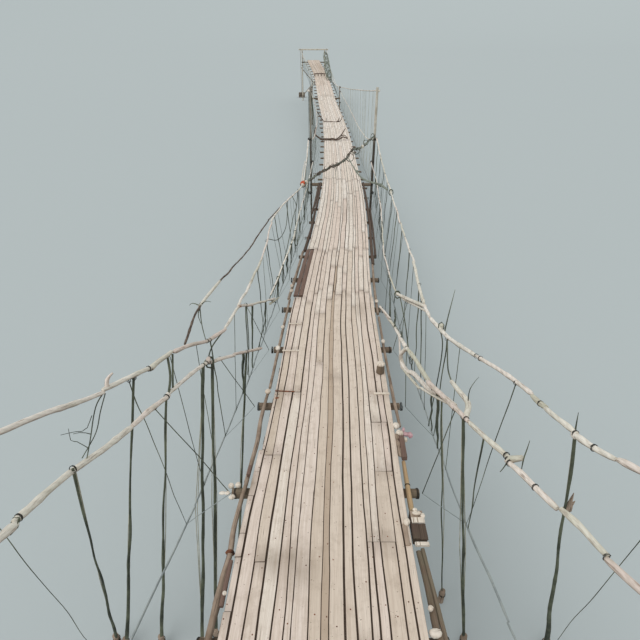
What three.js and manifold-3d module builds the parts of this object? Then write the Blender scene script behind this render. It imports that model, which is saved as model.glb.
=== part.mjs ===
// Rope suspension footbridge, as a scale model at one tenth of full size.
//
// Every length below is in metres of the full-size bridge, and is turned to model millimetres
// where a shape is placed. A place on the bridge is given by its station, the distance along the
// bridge from the near end, by its offset to the right of the deck's centre line, and by its
// height over the top of the boards. The bridge runs along +Y, and +Z is up from the ground.

import * as THREE from "three";
import { mergeVertices } from "three/addons/utils/BufferGeometryUtils.js";
import Module from "manifold-3d";

const wasm = await Module();
wasm.setup();

const millimetresPerMetre = 100;
const seatGap = 0.003;

// The two ends, the masts that stand between them, and the anchors behind them
const nearTowerStation = -1;
const firstMastStation = 31.5;
const secondMastStation = 76.5;
const farTowerStation = 110;
const nearAnchorStation = -8;
const farAnchorStation = 117;
const middleStation = (nearAnchorStation + farAnchorStation) / 2;

// The deck hangs in one long sag, and bows sideways where its ropes have slackened
const lowestDeckHeight = 3;
const lowestStation = 44.7;
const sagRise = 0.0011;
const bowTable = [
  [-9, 0], [-1, 0], [4, 0.07], [8, 0.24], [12, 0.37], [16, 0.62], [20, 0.92], [26, 1.28], [32, 1.5],
  [46, 1.7], [58, 1.6], [72, 1.05], [84, 0.65], [94, 0.2], [102, -0.5], [110, -1.4], [118, -1.9],
];

const boardThickness = 0.05;
const deckHalfWidth = 1.35;
const stringerOffset = 1.12;
const stringerWidth = 0.14;
const stringerDepth = 0.15;
const crossBeamSpacing = 2.5;
const firstCrossBeamStation = 0.25;
const crossBeamRadius = 0.09;
const crossBeamHalfLength = 1.7;
const notchDepth = 0.02;

const mainRopeRadius = 0.046;
const thinRopeRadius = 0.032;
const strandRadius = 0.022;
const strandSides = 3;

const stringerTop = -boardThickness - seatGap;
const stringerBottom = stringerTop - stringerDepth;
const crossBeamHeight = stringerBottom + notchDepth - crossBeamRadius;

const colours = {
  boards: "#dccfc4", beams: "#6e5a4e", poles: "#8f8273", rope: "#c9c3ae",
  darkPlank: "#6b3a33", paleTimber: "#cdbfae", yellowPole: "#b08a50", stone: "#8d8a83",
};

function material(colour, roughness = 0.9) {
  return new THREE.MeshStandardMaterial({ color: colour, roughness, metalness: 0 });
}

// A smooth curve through a table of [station, value] rows
function smoothValue(table, station) {
  const last = table.length - 2;
  let row = 0;
  while (row < last && station > table[row + 1][0]) row += 1;
  const slopeAt = (index) => {
    const before = table[Math.max(index - 1, 0)];
    const after = table[Math.min(index + 1, table.length - 1)];
    return (after[1] - before[1]) / (after[0] - before[0]);
  };
  const [startStation, startValue] = table[row];
  const [endStation, endValue] = table[row + 1];
  const length = endStation - startStation;
  const t = (station - startStation) / length;
  const startPull = (1 + 2 * t) * (1 - t) ** 2 * startValue + t * (1 - t) ** 2 * length * slopeAt(row);
  const endPull = t * t * (3 - 2 * t) * endValue + t * t * (t - 1) * length * slopeAt(row + 1);
  return startPull + endPull;
}

const deckCentre = (station) => smoothValue(bowTable, station);
const deckTop = (station) => lowestDeckHeight + sagRise * (station - lowestStation) ** 2;

// A point in model millimetres from full-size coordinates, with its height over the ground
function groundPoint(x, station, height) {
  return new THREE.Vector3(x, station - middleStation, height).multiplyScalar(millimetresPerMetre);
}

// The same for a place given from the deck: station, offset and height over the boards
function deckPoint([station, offset, height]) {
  return groundPoint(deckCentre(station) + offset, station, deckTop(station) + height);
}

// Bends a straight piece, whose x, y and z are offset, station and height, to follow the deck
function bendAlongDeck(geometry) {
  const positions = geometry.attributes.position;
  for (let i = 0; i < positions.count; i += 1) {
    const place = [positions.getY(i), positions.getX(i), positions.getZ(i)];
    const { x, y, z } = deckPoint(place);
    positions.setXYZ(i, x, y, z);
  }
  return geometry;
}

// A closed manifold solid from a three.js geometry, for joining pieces that grow into each other
function solidFrom(geometry) {
  const bare = geometry.clone();
  bare.deleteAttribute("normal");
  bare.deleteAttribute("uv");
  const merged = mergeVertices(bare, 1e-4);
  return new wasm.Manifold(new wasm.Mesh({
    numProp: 3,
    vertProperties: new Float32Array(merged.attributes.position.array),
    triVerts: new Uint32Array(merged.index.array),
  }));
}

function geometryFrom(solid) {
  const mesh = solid.getMesh();
  const geometry = new THREE.BufferGeometry();
  geometry.setAttribute("position", new THREE.BufferAttribute(new Float32Array(mesh.vertProperties), 3));
  geometry.setIndex(new THREE.BufferAttribute(new Uint32Array(mesh.triVerts), 1));
  geometry.computeVertexNormals();
  return geometry;
}

function joined(geometries) {
  return geometryFrom(geometries.map(solidFrom).reduce((whole, piece) => whole.add(piece)));
}

// A straight board or timber that follows the deck
function deckBox(left, right, fromStation, toStation, top, depth, steps) {
  const box = new THREE.BoxGeometry(right - left, toStation - fromStation, depth, 1, steps, 1);
  box.translate((left + right) / 2, (fromStation + toStation) / 2, top - depth / 2);
  return bendAlongDeck(box);
}

// A straight round pole between two model points
function pole(start, end, radius, sides = 10) {
  const along = end.clone().sub(start);
  const thickness = radius * millimetresPerMetre;
  const geometry = new THREE.CylinderGeometry(thickness, thickness, along.length(), sides);
  geometry.applyQuaternion(new THREE.Quaternion().setFromUnitVectors(
    new THREE.Vector3(0, 1, 0), along.clone().normalize(),
  ));
  return geometry.translate(...start.clone().add(end).multiplyScalar(0.5).toArray());
}

// A rope swept along a smooth route
function ropeAlong(route, radius, sides = 6, stepLength = 1.5) {
  const section = new THREE.Shape();
  for (let side = 0; side < sides; side += 1) {
    const angle = (2 * Math.PI * side) / sides;
    const x = Math.cos(angle) * radius * millimetresPerMetre;
    const y = Math.sin(angle) * radius * millimetresPerMetre;
    if (side === 0) section.moveTo(x, y);
    else section.lineTo(x, y);
  }
  const steps = Math.ceil(route.getLength() / (stepLength * millimetresPerMetre));
  return new THREE.ExtrudeGeometry(section, { steps, extrudePath: route, bevelEnabled: false });
}

function routeThrough(places) {
  return new THREE.CatmullRomCurve3(places.map(deckPoint), false, "centripetal");
}

// The point where a route that runs along the bridge passes a station
function pointAtStation(route, station) {
  const wantedY = (station - middleStation) * millimetresPerMetre;
  let low = 0;
  let high = 1;
  for (let halving = 0; halving < 24; halving += 1) {
    const middle = (low + high) / 2;
    if (route.getPoint(middle).y < wantedY) low = middle;
    else high = middle;
  }
  return route.getPoint(low);
}

const bridge = new THREE.Group();

function addPiece(name, geometry, colour) {
  const mesh = new THREE.Mesh(geometry, material(colour));
  mesh.name = name;
  bridge.add(mesh);
}

// Every cross-beam station in a stretch of deck
function crossBeamStations(fromStation, toStation) {
  const stations = [];
  const first = Math.ceil((fromStation - firstCrossBeamStation) / crossBeamSpacing);
  for (let i = first; firstCrossBeamStation + i * crossBeamSpacing < toStation; i += 1) {
    stations.push(firstCrossBeamStation + i * crossBeamSpacing);
  }
  return stations;
}

// Deck: long boards laid lengthwise, in sections that butt over the cross-beams. The second
// section lacks its left edge boards, where a dark plank has been laid instead.
const deckSections = [
  { from: -1.5, to: 13.2, left: -deckHalfWidth, right: deckHalfWidth },
  { from: 13.2, to: 18, left: -1.02, right: 1.32 },
  { from: 18, to: firstMastStation, left: -1.3, right: 1.33 },
  { from: firstMastStation, to: 54, left: -1.33, right: 1.33 },
  { from: 54, to: secondMastStation, left: -1.3, right: 1.3 },
  { from: secondMastStation, to: 93, left: -1.3, right: 1.3 },
  { from: 93, to: 110.5, left: -1.28, right: 1.28 },
];
const metresPerBend = 1.6;

deckSections.forEach(({ from, to, left, right }, index) => {
  const steps = Math.ceil((to - from) / metresPerBend);
  const start = from + (index > 0 ? seatGap : 0);
  const slab = deckBox(left, right, start, to, 0, boardThickness, steps);
  addPiece(`deck_section_${index + 1}`, slab, colours.boards);
});
addPiece(
  "left_edge_plank",
  deckBox(-1.34, -1.02 - seatGap, 13.3, 17.9, 0.02, boardThickness + 0.02, 3),
  colours.darkPlank,
);

// Under-frame: three stringers notched onto round cross-beams
const underFrameEnds = [-1.4, 14, firstMastStation, 54, secondMastStation, 94, 110.4];

underFrameEnds.slice(0, -1).forEach((from, index) => {
  const to = underFrameEnds[index + 1];
  const start = from + (index > 0 ? seatGap : 0);
  const steps = Math.ceil((to - from) / metresPerBend);
  const halfWidth = stringerWidth / 2;
  const timbers = [-stringerOffset, 0, stringerOffset].map((offset) => deckBox(
    offset - halfWidth, offset + halfWidth, start, to, stringerTop, stringerDepth, steps,
  ));
  crossBeamStations(from + 0.3, Math.min(to - 0.3, 108)).forEach((station) => {
    timbers.push(pole(
      deckPoint([station, -crossBeamHalfLength, crossBeamHeight]),
      deckPoint([station, crossBeamHalfLength, crossBeamHeight]),
      crossBeamRadius, 6,
    ));
  });
  addPiece(`under_frame_${index + 1}`, joined(timbers), colours.beams);
});

// Rope sides. Left and right differ in the near span, where each rope has slipped its own way.
// A row is [station, offset, height], and the left side's offsets run to the left.
const capHeight = 4.4;
const capRadius = 0.13;
const legRadius = 0.16;
const mastRadius = 0.1;
const mastOffset = 2.1;
const mastFlat = mastRadius * Math.cos(Math.PI / 10);
const ropeGap = 0.004;
const besideMast = mastOffset + mastFlat + mainRopeRadius + ropeGap;
const insideMast = mastOffset - mastFlat - thinRopeRadius - ropeGap;
const nearLegOffset = 3.5;
const nearSaddleOffset = 3.95;
const farCapHeight = 2;
const farLegOffset = 2.35;
const farSaddleOffset = 2.75;
const anchorHeight = 1;
const nearAnchorOffset = 4.3;
const farAnchorOffset = 2.4;

const buttGap = 0.012;
const capFace = capRadius + 2 * ropeGap;
const legFace = legRadius + 7 * ropeGap;
const beforeMast = firstMastStation - buttGap;
const nearSaddle = [nearTowerStation + capFace, nearSaddleOffset, capHeight];
const nearLegTie = [nearTowerStation + legFace, nearLegOffset, 3.3];
const nearSides = {
  left: {
    main: {
      upper: [nearSaddle, [3.36, 3.32, 3.1], [4.8, 3.1, 2.5], [5.7, 2.87, 2.25], [6.9, 2.72, 2],
        [7.7, 2.54, 1.6], [8.4, 2.36, 1.5], [9.5, 2.29, 1.5], [10.95, 2.2, 0.85], [12.6, 1.85, 0.25]],
      lower: [nearLegTie, [2.54, 3.02, 2.5], [3.6, 2.9, 2.3], [4.64, 2.8, 1.93], [5.64, 2.66, 1.73],
        [7.1, 2.52, 1.37], [9.6, 1.82, 0.2]],
      hand: [[9.5, 2.29, 1.5], [13.6, 2.39, 1.2], [17.2, 2.6, 1.5], [20.5, 2.47, 1.5], [23.9, 2.11, 1.4],
        [28, 2.2, 1.9], [beforeMast, besideMast, 2.6]],
    },
    thin: {
      outer: [[6.9, 2.72, 2], [8, 2.9, 2], [10.1, 2.9, 1.85], [14.4, 2.9, 1.35], [17.2, 2.8, 1.45],
        [20.5, 2.47, 1.5]],
      inner: [[12.4, 1.95, 0.45], [14.1, 1.58, 1.25], [20, 1.8, 1.2], [26, 1.95, 1.15],
        [beforeMast, insideMast, 1.2]],
    },
    stays: [["lower", 3.5, 4.67, 4.44], ["upper", 5.35, 4.6, 4.2], ["lower", 5.62, 4.65, 3.45],
      ["lower", 7.1, 4.6, 2.55], ["lower", 7.45, 4.75, 2.28], ["lower", 8.85, 6.6, 2.07]],
  },
  right: {
    main: {
      upper: [nearSaddle, [3.1, 3.28, 2.7], [3.92, 3.04, 2.5], [5, 2.88, 2.36], [6.64, 2.6, 1.95],
        [7.8, 2.41, 1.6], [9.04, 2.23, 1.6], [11.2, 2.27, 1.9], [13.8, 2.33, 1.8], [20.8, 2.35, 1.7],
        [26, 2.25, 2], [beforeMast, besideMast, 2.7]],
      lower: [nearLegTie, [2.1, 2.8, 2.3], [3.32, 2.47, 2.15], [4.92, 2.08, 1.85], [6.4, 1.8, 1.5],
        [7.64, 1.61, 1.4], [10.2, 1.6, 0.7], [12.2, 1.5, 0.15]],
    },
    thin: {
      loop: [[5.4, 1.99, 1.74], [6.4, 1.76, 1.25], [7.8, 1.57, 0.8], [8.5, 1.62, 0.75], [8.9, 1.6, 1.06]],
      inner: [[9.04, 2.23, 1.6], [11.1, 1.85, 1.1], [14, 1.7, 1.2], [20, 1.85, 1.2], [26, 1.95, 1.15],
        [beforeMast, insideMast, 1.2]],
    },
    stays: [["upper", 3.92, 4.6, 4.9], ["lower", 5, 4.67, 3.13], ["lower", 5.75, 5.6, 2.88]],
  },
};
const nearStorm = [
  [nearTowerStation + legFace, nearLegOffset, -0.9], [3, 2.9, -1.1], [8, 2.5, -1.25], [16, 2.3, -1.3],
  [24, 2.2, -1.2], [beforeMast, besideMast, -0.9],
];

const afterFirst = firstMastStation + buttGap;
const beforeSecond = secondMastStation - buttGap;
const middleHand = [
  [afterFirst, besideMast, 2.65], [38, 2.15, 1.7], [46, 2.05, 1.25], [54, 2, 1.15], [62, 2.05, 1.1],
  [70, 2.15, 0.85], [beforeSecond, besideMast, 0.6],
];
const middleStorm = [[afterFirst, besideMast, -0.9], [54, 2.1, -1.2], [beforeSecond, besideMast, -0.9]];
const middleSides = {
  left: {
    main: {
      upper: [[afterFirst, besideMast, 5.5], [40, 2.45, 4.95], [48, 2.6, 4.35], [56, 2.65, 3.6],
        [66, 2.5, 2.55], [beforeSecond, besideMast, 1.2]],
      hand: middleHand,
    },
    thin: { storm: middleStorm },
  },
  right: {
    main: {
      upper: [[afterFirst, besideMast, 5.5], [40, 2.05, 4.95], [48, 1.9, 4.35], [56, 1.88, 3.6],
        [66, 2.02, 2.55], [beforeSecond, besideMast, 1.2]],
      hand: middleHand,
    },
    thin: { storm: middleStorm },
  },
};
const afterSecond = secondMastStation + buttGap;
const farSide = {
  main: {
    upper: [[afterSecond, besideMast, 1.2], [81, 1.95, 0.75], [86, 1.65, 0.5], [93, 1.8, 0.55], [101, 2.2, 1.05],
      [farTowerStation - capFace, farSaddleOffset, farCapHeight]],
    hand: [[afterSecond, besideMast, 0.6], [84, 2.05, 0.35], [93, 2.1, 0.3], [102, 2.2, 0.45],
      [farTowerStation - legFace, farLegOffset, 0.95]],
  },
  thin: {
    storm: [[afterSecond, besideMast, -0.9], [93, 2.1, -1.2],
      [farTowerStation - legFace, farLegOffset, -0.9]],
  },
};

// One side of one span: its ropes, a plumb strand at each cross-beam from a high rope down to the
// storm rope, and a slanting hanger that comes in from a low rope and passes the cross-beam's end.
// A stay runs from a rope's station to a stake in the ground, at a station and distance from x = 0.
const stakeRadius = 0.07;
const stakeHeight = 0.45;
const stakeEyeHeight = 0.3;

function ropeSide(name, sign, { main, thin, stays = [] }, strandRules, stepLength) {
  const mirrored = (places) => places.map(([station, offset, height]) => [station, sign * offset, height]);
  const routes = {};
  const pieces = [];
  Object.entries(main).forEach(([rope, places]) => {
    routes[rope] = routeThrough(mirrored(places));
    pieces.push(ropeAlong(routes[rope], mainRopeRadius, 6, stepLength));
  });
  Object.entries(thin).forEach(([rope, places]) => {
    routes[rope] = routeThrough(mirrored(places));
    pieces.push(ropeAlong(routes[rope], thinRopeRadius, 4, 1.5 * stepLength));
  });
  strandRules.forEach(({ rope, from, to, plumb, every = 1 }) => {
    crossBeamStations(from, to).filter((_, index) => index % every === 0).forEach((station) => {
      const top = pointAtStation(routes[rope], station);
      const bottom = pointAtStation(routes.storm, station);
      const beamEnd = crossBeamHalfLength + 1.5 * strandRadius + seatGap;
      const past = deckPoint([station, sign * beamEnd, crossBeamHeight]);
      if (plumb) {
        pieces.push(pole(top, bottom, strandRadius, strandSides));
      } else {
        pieces.push(pole(top, past, strandRadius, strandSides));
        pieces.push(pole(past, bottom, strandRadius, strandSides));
      }
    });
  });
  stays.forEach(([rope, topStation, footStation, reach]) => {
    const top = pointAtStation(routes[rope], topStation);
    const eye = groundPoint(sign * reach, footStation, stakeEyeHeight);
    const foot = groundPoint(sign * reach, footStation, 0);
    const head = groundPoint(sign * reach, footStation, stakeHeight);
    pieces.push(pole(top, eye, thinRopeRadius, 4), pole(foot, head, stakeRadius, 6));
  });
  addPiece(name, joined(pieces), colours.rope);
}

const nearStrands = {
  left: [
    { rope: "upper", from: 0, to: 12, plumb: true },
    { rope: "lower", from: 5, to: 8, plumb: false },
    { rope: "upper", from: 8, to: 12, plumb: false },
    { rope: "hand", from: 12, to: 31, plumb: true },
    { rope: "inner", from: 12.5, to: 31, plumb: false, every: 2 },
  ],
  right: [
    { rope: "upper", from: 0, to: 31, plumb: true },
    { rope: "lower", from: 5, to: 10, plumb: false },
    { rope: "inner", from: 10, to: 31, plumb: false, every: 2 },
  ],
};

Object.entries({ left: -1, right: 1 }).forEach(([side, sign]) => {
  const near = nearSides[side];
  const nearRopes = { ...near, thin: { ...near.thin, storm: nearStorm } };
  ropeSide(`${side}_ropes_near_span`, sign, nearRopes, nearStrands[side], 1.5);
  ropeSide(`${side}_ropes_middle_span`, sign, middleSides[side], [
    { rope: "upper", from: 32, to: 76, plumb: true },
    { rope: "hand", from: 32, to: 76, plumb: false, every: 2 },
  ], 2.2);
  ropeSide(`${side}_ropes_far_span`, sign, farSide, [
    { rope: "upper", from: 77, to: 108, plumb: true },
    { rope: "hand", from: 77, to: 108, plumb: false, every: 2 },
  ], 2.2);
});

// The tie that leaves the left hand rope, crosses over the walkway and is made fast to the right
// mast, with a branch that comes in from the right hand rope
const crossingTie = routeThrough([
  [24.15, -1.98, 1.49], [25.9, -1, 1.8], [27, 0.12, 2.15], [28.5, 0.54, 2.45], [30, 1.2, 2.4],
  [firstMastStation - 0.097, mastOffset - 0.06, 2.85],
]);
const crossingBranch = routeThrough([
  [21.6, 2.2, 1.72], [22.4, 1.95, 1.75], [24.3, 1.05, 1.7], [27.5, 0.27, 2.23],
]);
addPiece(
  "crossing_tie",
  joined([ropeAlong(crossingTie, mainRopeRadius, 6, 0.9), ropeAlong(crossingBranch, thinRopeRadius, 6, 0.9)]),
  colours.rope,
);

// Supports: round poles that stand on the ground, with the deck's sill between them. A tower has a
// cap as well, and two long braces that cross under the deck, one lashed to each face of its legs.
const braceRadius = 0.08;
const braceOverhang = 0.3;
const braceFootHeight = 0.7;
const braceHeadDrop = 1.3;

function support(name, station, legOffset, radius, legTop, cap) {
  const centre = deckCentre(station);
  Object.entries({ left: -1, right: 1 }).forEach(([side, sign]) => {
    const x = centre + sign * legOffset;
    const top = cap ? cap.height - capRadius - seatGap : legTop;
    const foot = groundPoint(x, station, 0);
    const head = groundPoint(x, station, deckTop(station) + top);
    addPiece(`${name}_${side}_leg`, pole(foot, head, radius), colours.poles);
  });
  const sillRadius = 0.11;
  const sillHeight = stringerBottom - seatGap - sillRadius;
  const sillReach = legOffset - radius * Math.cos(Math.PI / 10) - seatGap;
  addPiece(
    `${name}_sill`,
    pole(
      deckPoint([station, -sillReach, sillHeight]),
      deckPoint([station, sillReach, sillHeight]), sillRadius, 8,
    ),
    colours.beams,
  );
  if (cap) {
    addPiece(
      `${name}_cap`,
      pole(
        deckPoint([station, -cap.reach, cap.height]),
        deckPoint([station, cap.reach, cap.height]), capRadius, 8,
      ),
      colours.poles,
    );
    Object.entries({ left: -1, right: 1 }).forEach(([side, sign]) => {
      const braceStation = station + sign * (radius + braceRadius + seatGap);
      const reach = sign * (legOffset + braceOverhang);
      const foot = groundPoint(centre + reach, braceStation, braceFootHeight);
      const head = groundPoint(centre - reach, braceStation, deckTop(station) - braceHeadDrop);
      addPiece(`${name}_${side}_brace`, pole(foot, head, braceRadius, 12), colours.poles);
    });
  }
}

support("near_tower", nearTowerStation, nearLegOffset, legRadius, 0, { height: capHeight, reach: 4.3 });
support("first_mast", firstMastStation, mastOffset, mastRadius, 5.7);
support("second_mast", secondMastStation, mastOffset, mastRadius, 1.35);
support("far_tower", farTowerStation, farLegOffset, legRadius, 0, { height: farCapHeight, reach: 3.1 });

// Anchors: stone-filled blocks that hold the backstays down
const anchorSize = 1.4;

function anchor(name, station, x) {
  const size = anchorSize * millimetresPerMetre;
  const height = anchorHeight * millimetresPerMetre;
  const block = new THREE.BoxGeometry(size, size, height);
  block.translate(...groundPoint(x, station, anchorHeight / 2).toArray());
  addPiece(name, block, colours.stone);
}

anchor("near_left_anchor", nearAnchorStation, deckCentre(nearAnchorStation) - nearAnchorOffset);
anchor("near_right_anchor", nearAnchorStation, deckCentre(nearAnchorStation) + nearAnchorOffset);
anchor("far_left_anchor", farAnchorStation, deckCentre(farAnchorStation) - farAnchorOffset);
anchor("far_right_anchor", farAnchorStation, deckCentre(farAnchorStation) + farAnchorOffset);

// Backstays: straight ropes from the tower caps down to the anchors, made fast behind the caps
function backstay(name, side, towerStation, saddleOffset, height, anchorStation, anchorOffset) {
  const top = deckPoint([towerStation, side * saddleOffset, height]);
  const x = deckCentre(anchorStation) + side * anchorOffset;
  const steepness = Math.atan2(deckTop(towerStation) + height, Math.abs(anchorStation - towerStation));
  const endLift = mainRopeRadius * Math.cos(steepness) + ropeGap;
  const end = groundPoint(x, anchorStation, anchorHeight + endLift);
  const away = end.clone().sub(top).normalize();
  const start = top.addScaledVector(away, (capRadius + seatGap) * millimetresPerMetre);
  addPiece(name, pole(start, end, mainRopeRadius, 8), colours.rope);
}

Object.entries({ left: -1, right: 1 }).forEach(([side, sign]) => {
  backstay(
    `near_${side}_backstay`, sign,
    nearTowerStation, nearSaddleOffset, capHeight, nearAnchorStation, nearAnchorOffset,
  );
  backstay(
    `far_${side}_backstay`, sign,
    farTowerStation, farSaddleOffset, farCapHeight, farAnchorStation, farAnchorOffset,
  );
});

// Odd timbers along the deck's edges, which rest on the cross-beam ends
const crossBeamTop = crossBeamHeight + crossBeamRadius;

function edgePole(name, from, to, offset, radius, colour) {
  const height = crossBeamTop + seatGap + radius;
  const steps = Math.ceil((to - from) / metresPerBend);
  const places = [];
  for (let i = 0; i <= steps; i += 1) places.push([from + ((to - from) * i) / steps, offset, height]);
  addPiece(name, ropeAlong(routeThrough(places), radius, 8, metresPerBend), colour);
}

edgePole("left_side_pole", -1.4, 8.2, -1.46, 0.06, colours.poles);
edgePole("right_side_pole", -1.4, 4, 1.5, 0.06, colours.poles);
edgePole("yellow_pole", 4.76, 5.9, 1.46, 0.036, colours.yellowPole);

addPiece(
  "right_edge_box",
  deckBox(deckHalfWidth + seatGap, 1.7, 4.1, 4.72, 0.06, 0.24, 1),
  colours.darkPlank,
);
addPiece(
  "right_edge_post",
  pole(
    deckPoint([8.75, 1.22, 0.013]),
    deckPoint([8.75, 1.22, 0.31]), 0.11, 10,
  ),
  colours.paleTimber,
);

export default bridge;
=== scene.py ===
import math
import random

import bmesh
import bpy
import numpy as np
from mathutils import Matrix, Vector, noise


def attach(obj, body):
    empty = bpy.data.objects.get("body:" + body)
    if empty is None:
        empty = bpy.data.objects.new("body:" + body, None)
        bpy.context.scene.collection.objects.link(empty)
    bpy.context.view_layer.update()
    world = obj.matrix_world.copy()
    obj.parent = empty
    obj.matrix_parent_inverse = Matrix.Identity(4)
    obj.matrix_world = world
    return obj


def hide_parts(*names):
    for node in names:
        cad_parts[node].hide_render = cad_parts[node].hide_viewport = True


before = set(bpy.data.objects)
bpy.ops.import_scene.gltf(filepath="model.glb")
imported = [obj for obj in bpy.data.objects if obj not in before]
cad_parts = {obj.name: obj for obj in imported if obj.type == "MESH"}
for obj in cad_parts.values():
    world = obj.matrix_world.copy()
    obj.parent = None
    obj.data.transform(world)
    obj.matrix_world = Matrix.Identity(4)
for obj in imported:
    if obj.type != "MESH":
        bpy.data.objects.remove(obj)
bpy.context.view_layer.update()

scene = bpy.context.scene

# Places on the bridge are in metres of full size, as in the part's source. The model is at one tenth.
modelScale = 0.1
middleStation = 54.5
firstMast = 31.5
secondMast = 76.5
signs = {"left": -1, "right": 1}
sag = {"lowestHeight": 3, "lowestStation": 44.7, "rise": 0.0011}
bowTable = [
    (-9, 0), (-1, 0), (4, 0.07), (8, 0.24), (12, 0.37), (16, 0.62), (20, 0.92), (26, 1.28), (32, 1.5),
    (46, 1.7), (58, 1.6), (72, 1.05), (84, 0.65), (94, 0.2), (102, -0.5), (110, -1.4), (118, -1.9),
]


def bowSlope(row):
    before = bowTable[max(row - 1, 0)]
    after = bowTable[min(row + 1, len(bowTable) - 1)]
    return (after[1] - before[1]) / (after[0] - before[0])


def deckCentre(station):
    row = 0
    while row < len(bowTable) - 2 and station > bowTable[row + 1][0]:
        row += 1
    (fromStation, fromValue), (toStation, toValue) = bowTable[row], bowTable[row + 1]
    length = toStation - fromStation
    t = (station - fromStation) / length
    startPull = (1 + 2 * t) * (1 - t) ** 2 * fromValue + t * (1 - t) ** 2 * length * bowSlope(row)
    endPull = t * t * (3 - 2 * t) * toValue + t * t * (t - 1) * length * bowSlope(row + 1)
    return startPull + endPull


def deckTop(station):
    return sag["lowestHeight"] + sag["rise"] * (station - sag["lowestStation"]) ** 2


def groundPoint(x, station, height):
    return np.array([x, station - middleStation, height]) * modelScale


def deckPoint(station, offset, height):
    return groundPoint(deckCentre(station) + offset, station, deckTop(station) + height)


def deckPoints(rows, sign=1):
    return [deckPoint(station, sign * offset, height) for station, offset, height in rows]


def addObject(name, data):
    made = bpy.data.objects.new(name, data)
    scene.collection.objects.link(made)
    return made


# Camera, at the photograph's angle. Its frame is 640 pixels a side.
camera = {
    "height": 11.4, "station": 0, "pitchDown": 31.9, "focalPixels": 450, "framePixels": 640, "sensor": 36,
    "farClip": 400,
}
lens = bpy.data.cameras.new("lookout")
lens.sensor_width = camera["sensor"]
lens.lens = camera["focalPixels"] / camera["framePixels"] * camera["sensor"]
lens.clip_end = camera["farClip"]
lookout = addObject("lookout", lens)
lookout.location = groundPoint(0, camera["station"], camera["height"])
lookout.rotation_euler = (math.radians(90 - camera["pitchDown"]), 0, 0)
scene.camera = lookout
scene.view_settings.view_transform = "Standard"
print("camera placed")


def linear(hexColour):
    values = [int(hexColour[i:i + 2], 16) / 255 for i in (1, 3, 5)]
    return [v / 12.92 if v <= 0.04045 else ((v + 0.055) / 1.055) ** 2.4 for v in values] + [1]


# Adds a node with its settings and links. An input may be a value, a socket, or a node, which then
# gives its first output.
def addNode(tree, kind, settings=None, inputs=None):
    made = tree.nodes.new(kind)
    for name, value in (settings or {}).items():
        if name == "stops":
            fillStops(made.color_ramp.elements, value)
        else:
            setattr(made, name, value)
    for name, value in (inputs or {}).items():
        if isinstance(value, bpy.types.Node):
            value = value.outputs[0]
        if isinstance(value, bpy.types.NodeSocket):
            tree.links.new(value, made.inputs[name])
        else:
            made.inputs[name].default_value = value
    return made


def fillStops(elements, stops):
    while len(elements) < len(stops):
        elements.new(0.5)
    for element, (place, colour) in zip(elements, stops):
        element.position = place
        element.color = linear(colour)


# Masks for the finishes. Their sizes are in mm on the full-size bridge.
def lengthwise(tree, width, length):
    uv = addNode(tree, "ShaderNodeUVMap", {"uv_map": "lengthwise"})
    scale = (1000 / width, 1000 / length, 1)
    return addNode(tree, "ShaderNodeMapping", inputs={"Vector": uv, "Scale": scale})


def streaks(tree, width, length, detail=3, roughness=0.6):
    return addNode(tree, "ShaderNodeTexNoise", inputs={
        "Vector": lengthwise(tree, width, length), "Scale": 1, "Detail": detail, "Roughness": roughness,
    }).outputs["Fac"]


def diagonalLay(tree, length):
    return addNode(tree, "ShaderNodeTexWave", {"bands_direction": "DIAGONAL"}, {
        "Vector": lengthwise(tree, length, length), "Scale": 0.9, "Distortion": 1.5, "Detail": 1,
    }).outputs["Fac"]


def blotches(tree, size, detail=3, roughness=0.6):
    place = addNode(tree, "ShaderNodeTexCoord").outputs["Object"]
    return addNode(tree, "ShaderNodeTexNoise", inputs={
        "Vector": place, "Scale": 1000 / modelScale / size, "Detail": detail, "Roughness": roughness,
    }).outputs["Fac"]


# A finish: a colour ramp over one mask, then layers (mask, where it starts and is full, strength,
# colour), then a relief (mask, strength, depth). A mask is one of the above with its sizes, or the
# name of a value that the mesh carries.
def newFinish(name, look):
    made = bpy.data.materials.new(name)
    made.use_nodes = True
    tree = made.node_tree
    shader = tree.nodes["Principled BSDF"]
    for socket, value in {"IOR": 1.45, **look["shader"]}.items():
        shader.inputs[socket].default_value = value
    if "ramp" not in look:
        return made
    drawn = {}

    def mask(kind):
        if kind not in drawn and isinstance(kind, str):
            drawn[kind] = addNode(tree, "ShaderNodeAttribute", {"attribute_name": kind}).outputs["Fac"]
        elif kind not in drawn:
            drawn[kind] = kind[0](tree, *kind[1:])
        return drawn[kind]

    base, *stops = look["ramp"]
    colour = addNode(tree, "ShaderNodeValToRGB", {"stops": stops}, {"Fac": mask(base)}).outputs["Color"]
    for kind, start, full, strength, over in look.get("layers", ()):
        share = addNode(tree, "ShaderNodeMapRange", inputs={
            "Value": mask(kind), "From Min": start, "From Max": full, "To Max": strength,
        })
        mixed = addNode(tree, "ShaderNodeMix", {"data_type": "RGBA"}, {0: share, 6: colour, 7: linear(over)})
        colour = mixed.outputs[2]
    tree.links.new(colour, shader.inputs["Base Color"])
    kind, strength, depth = look["relief"]
    bump = addNode(tree, "ShaderNodeBump", inputs={
        "Height": mask(kind), "Strength": strength, "Distance": depth,
    })
    tree.links.new(bump.outputs["Normal"], shader.inputs["Normal"])
    return made


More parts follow.
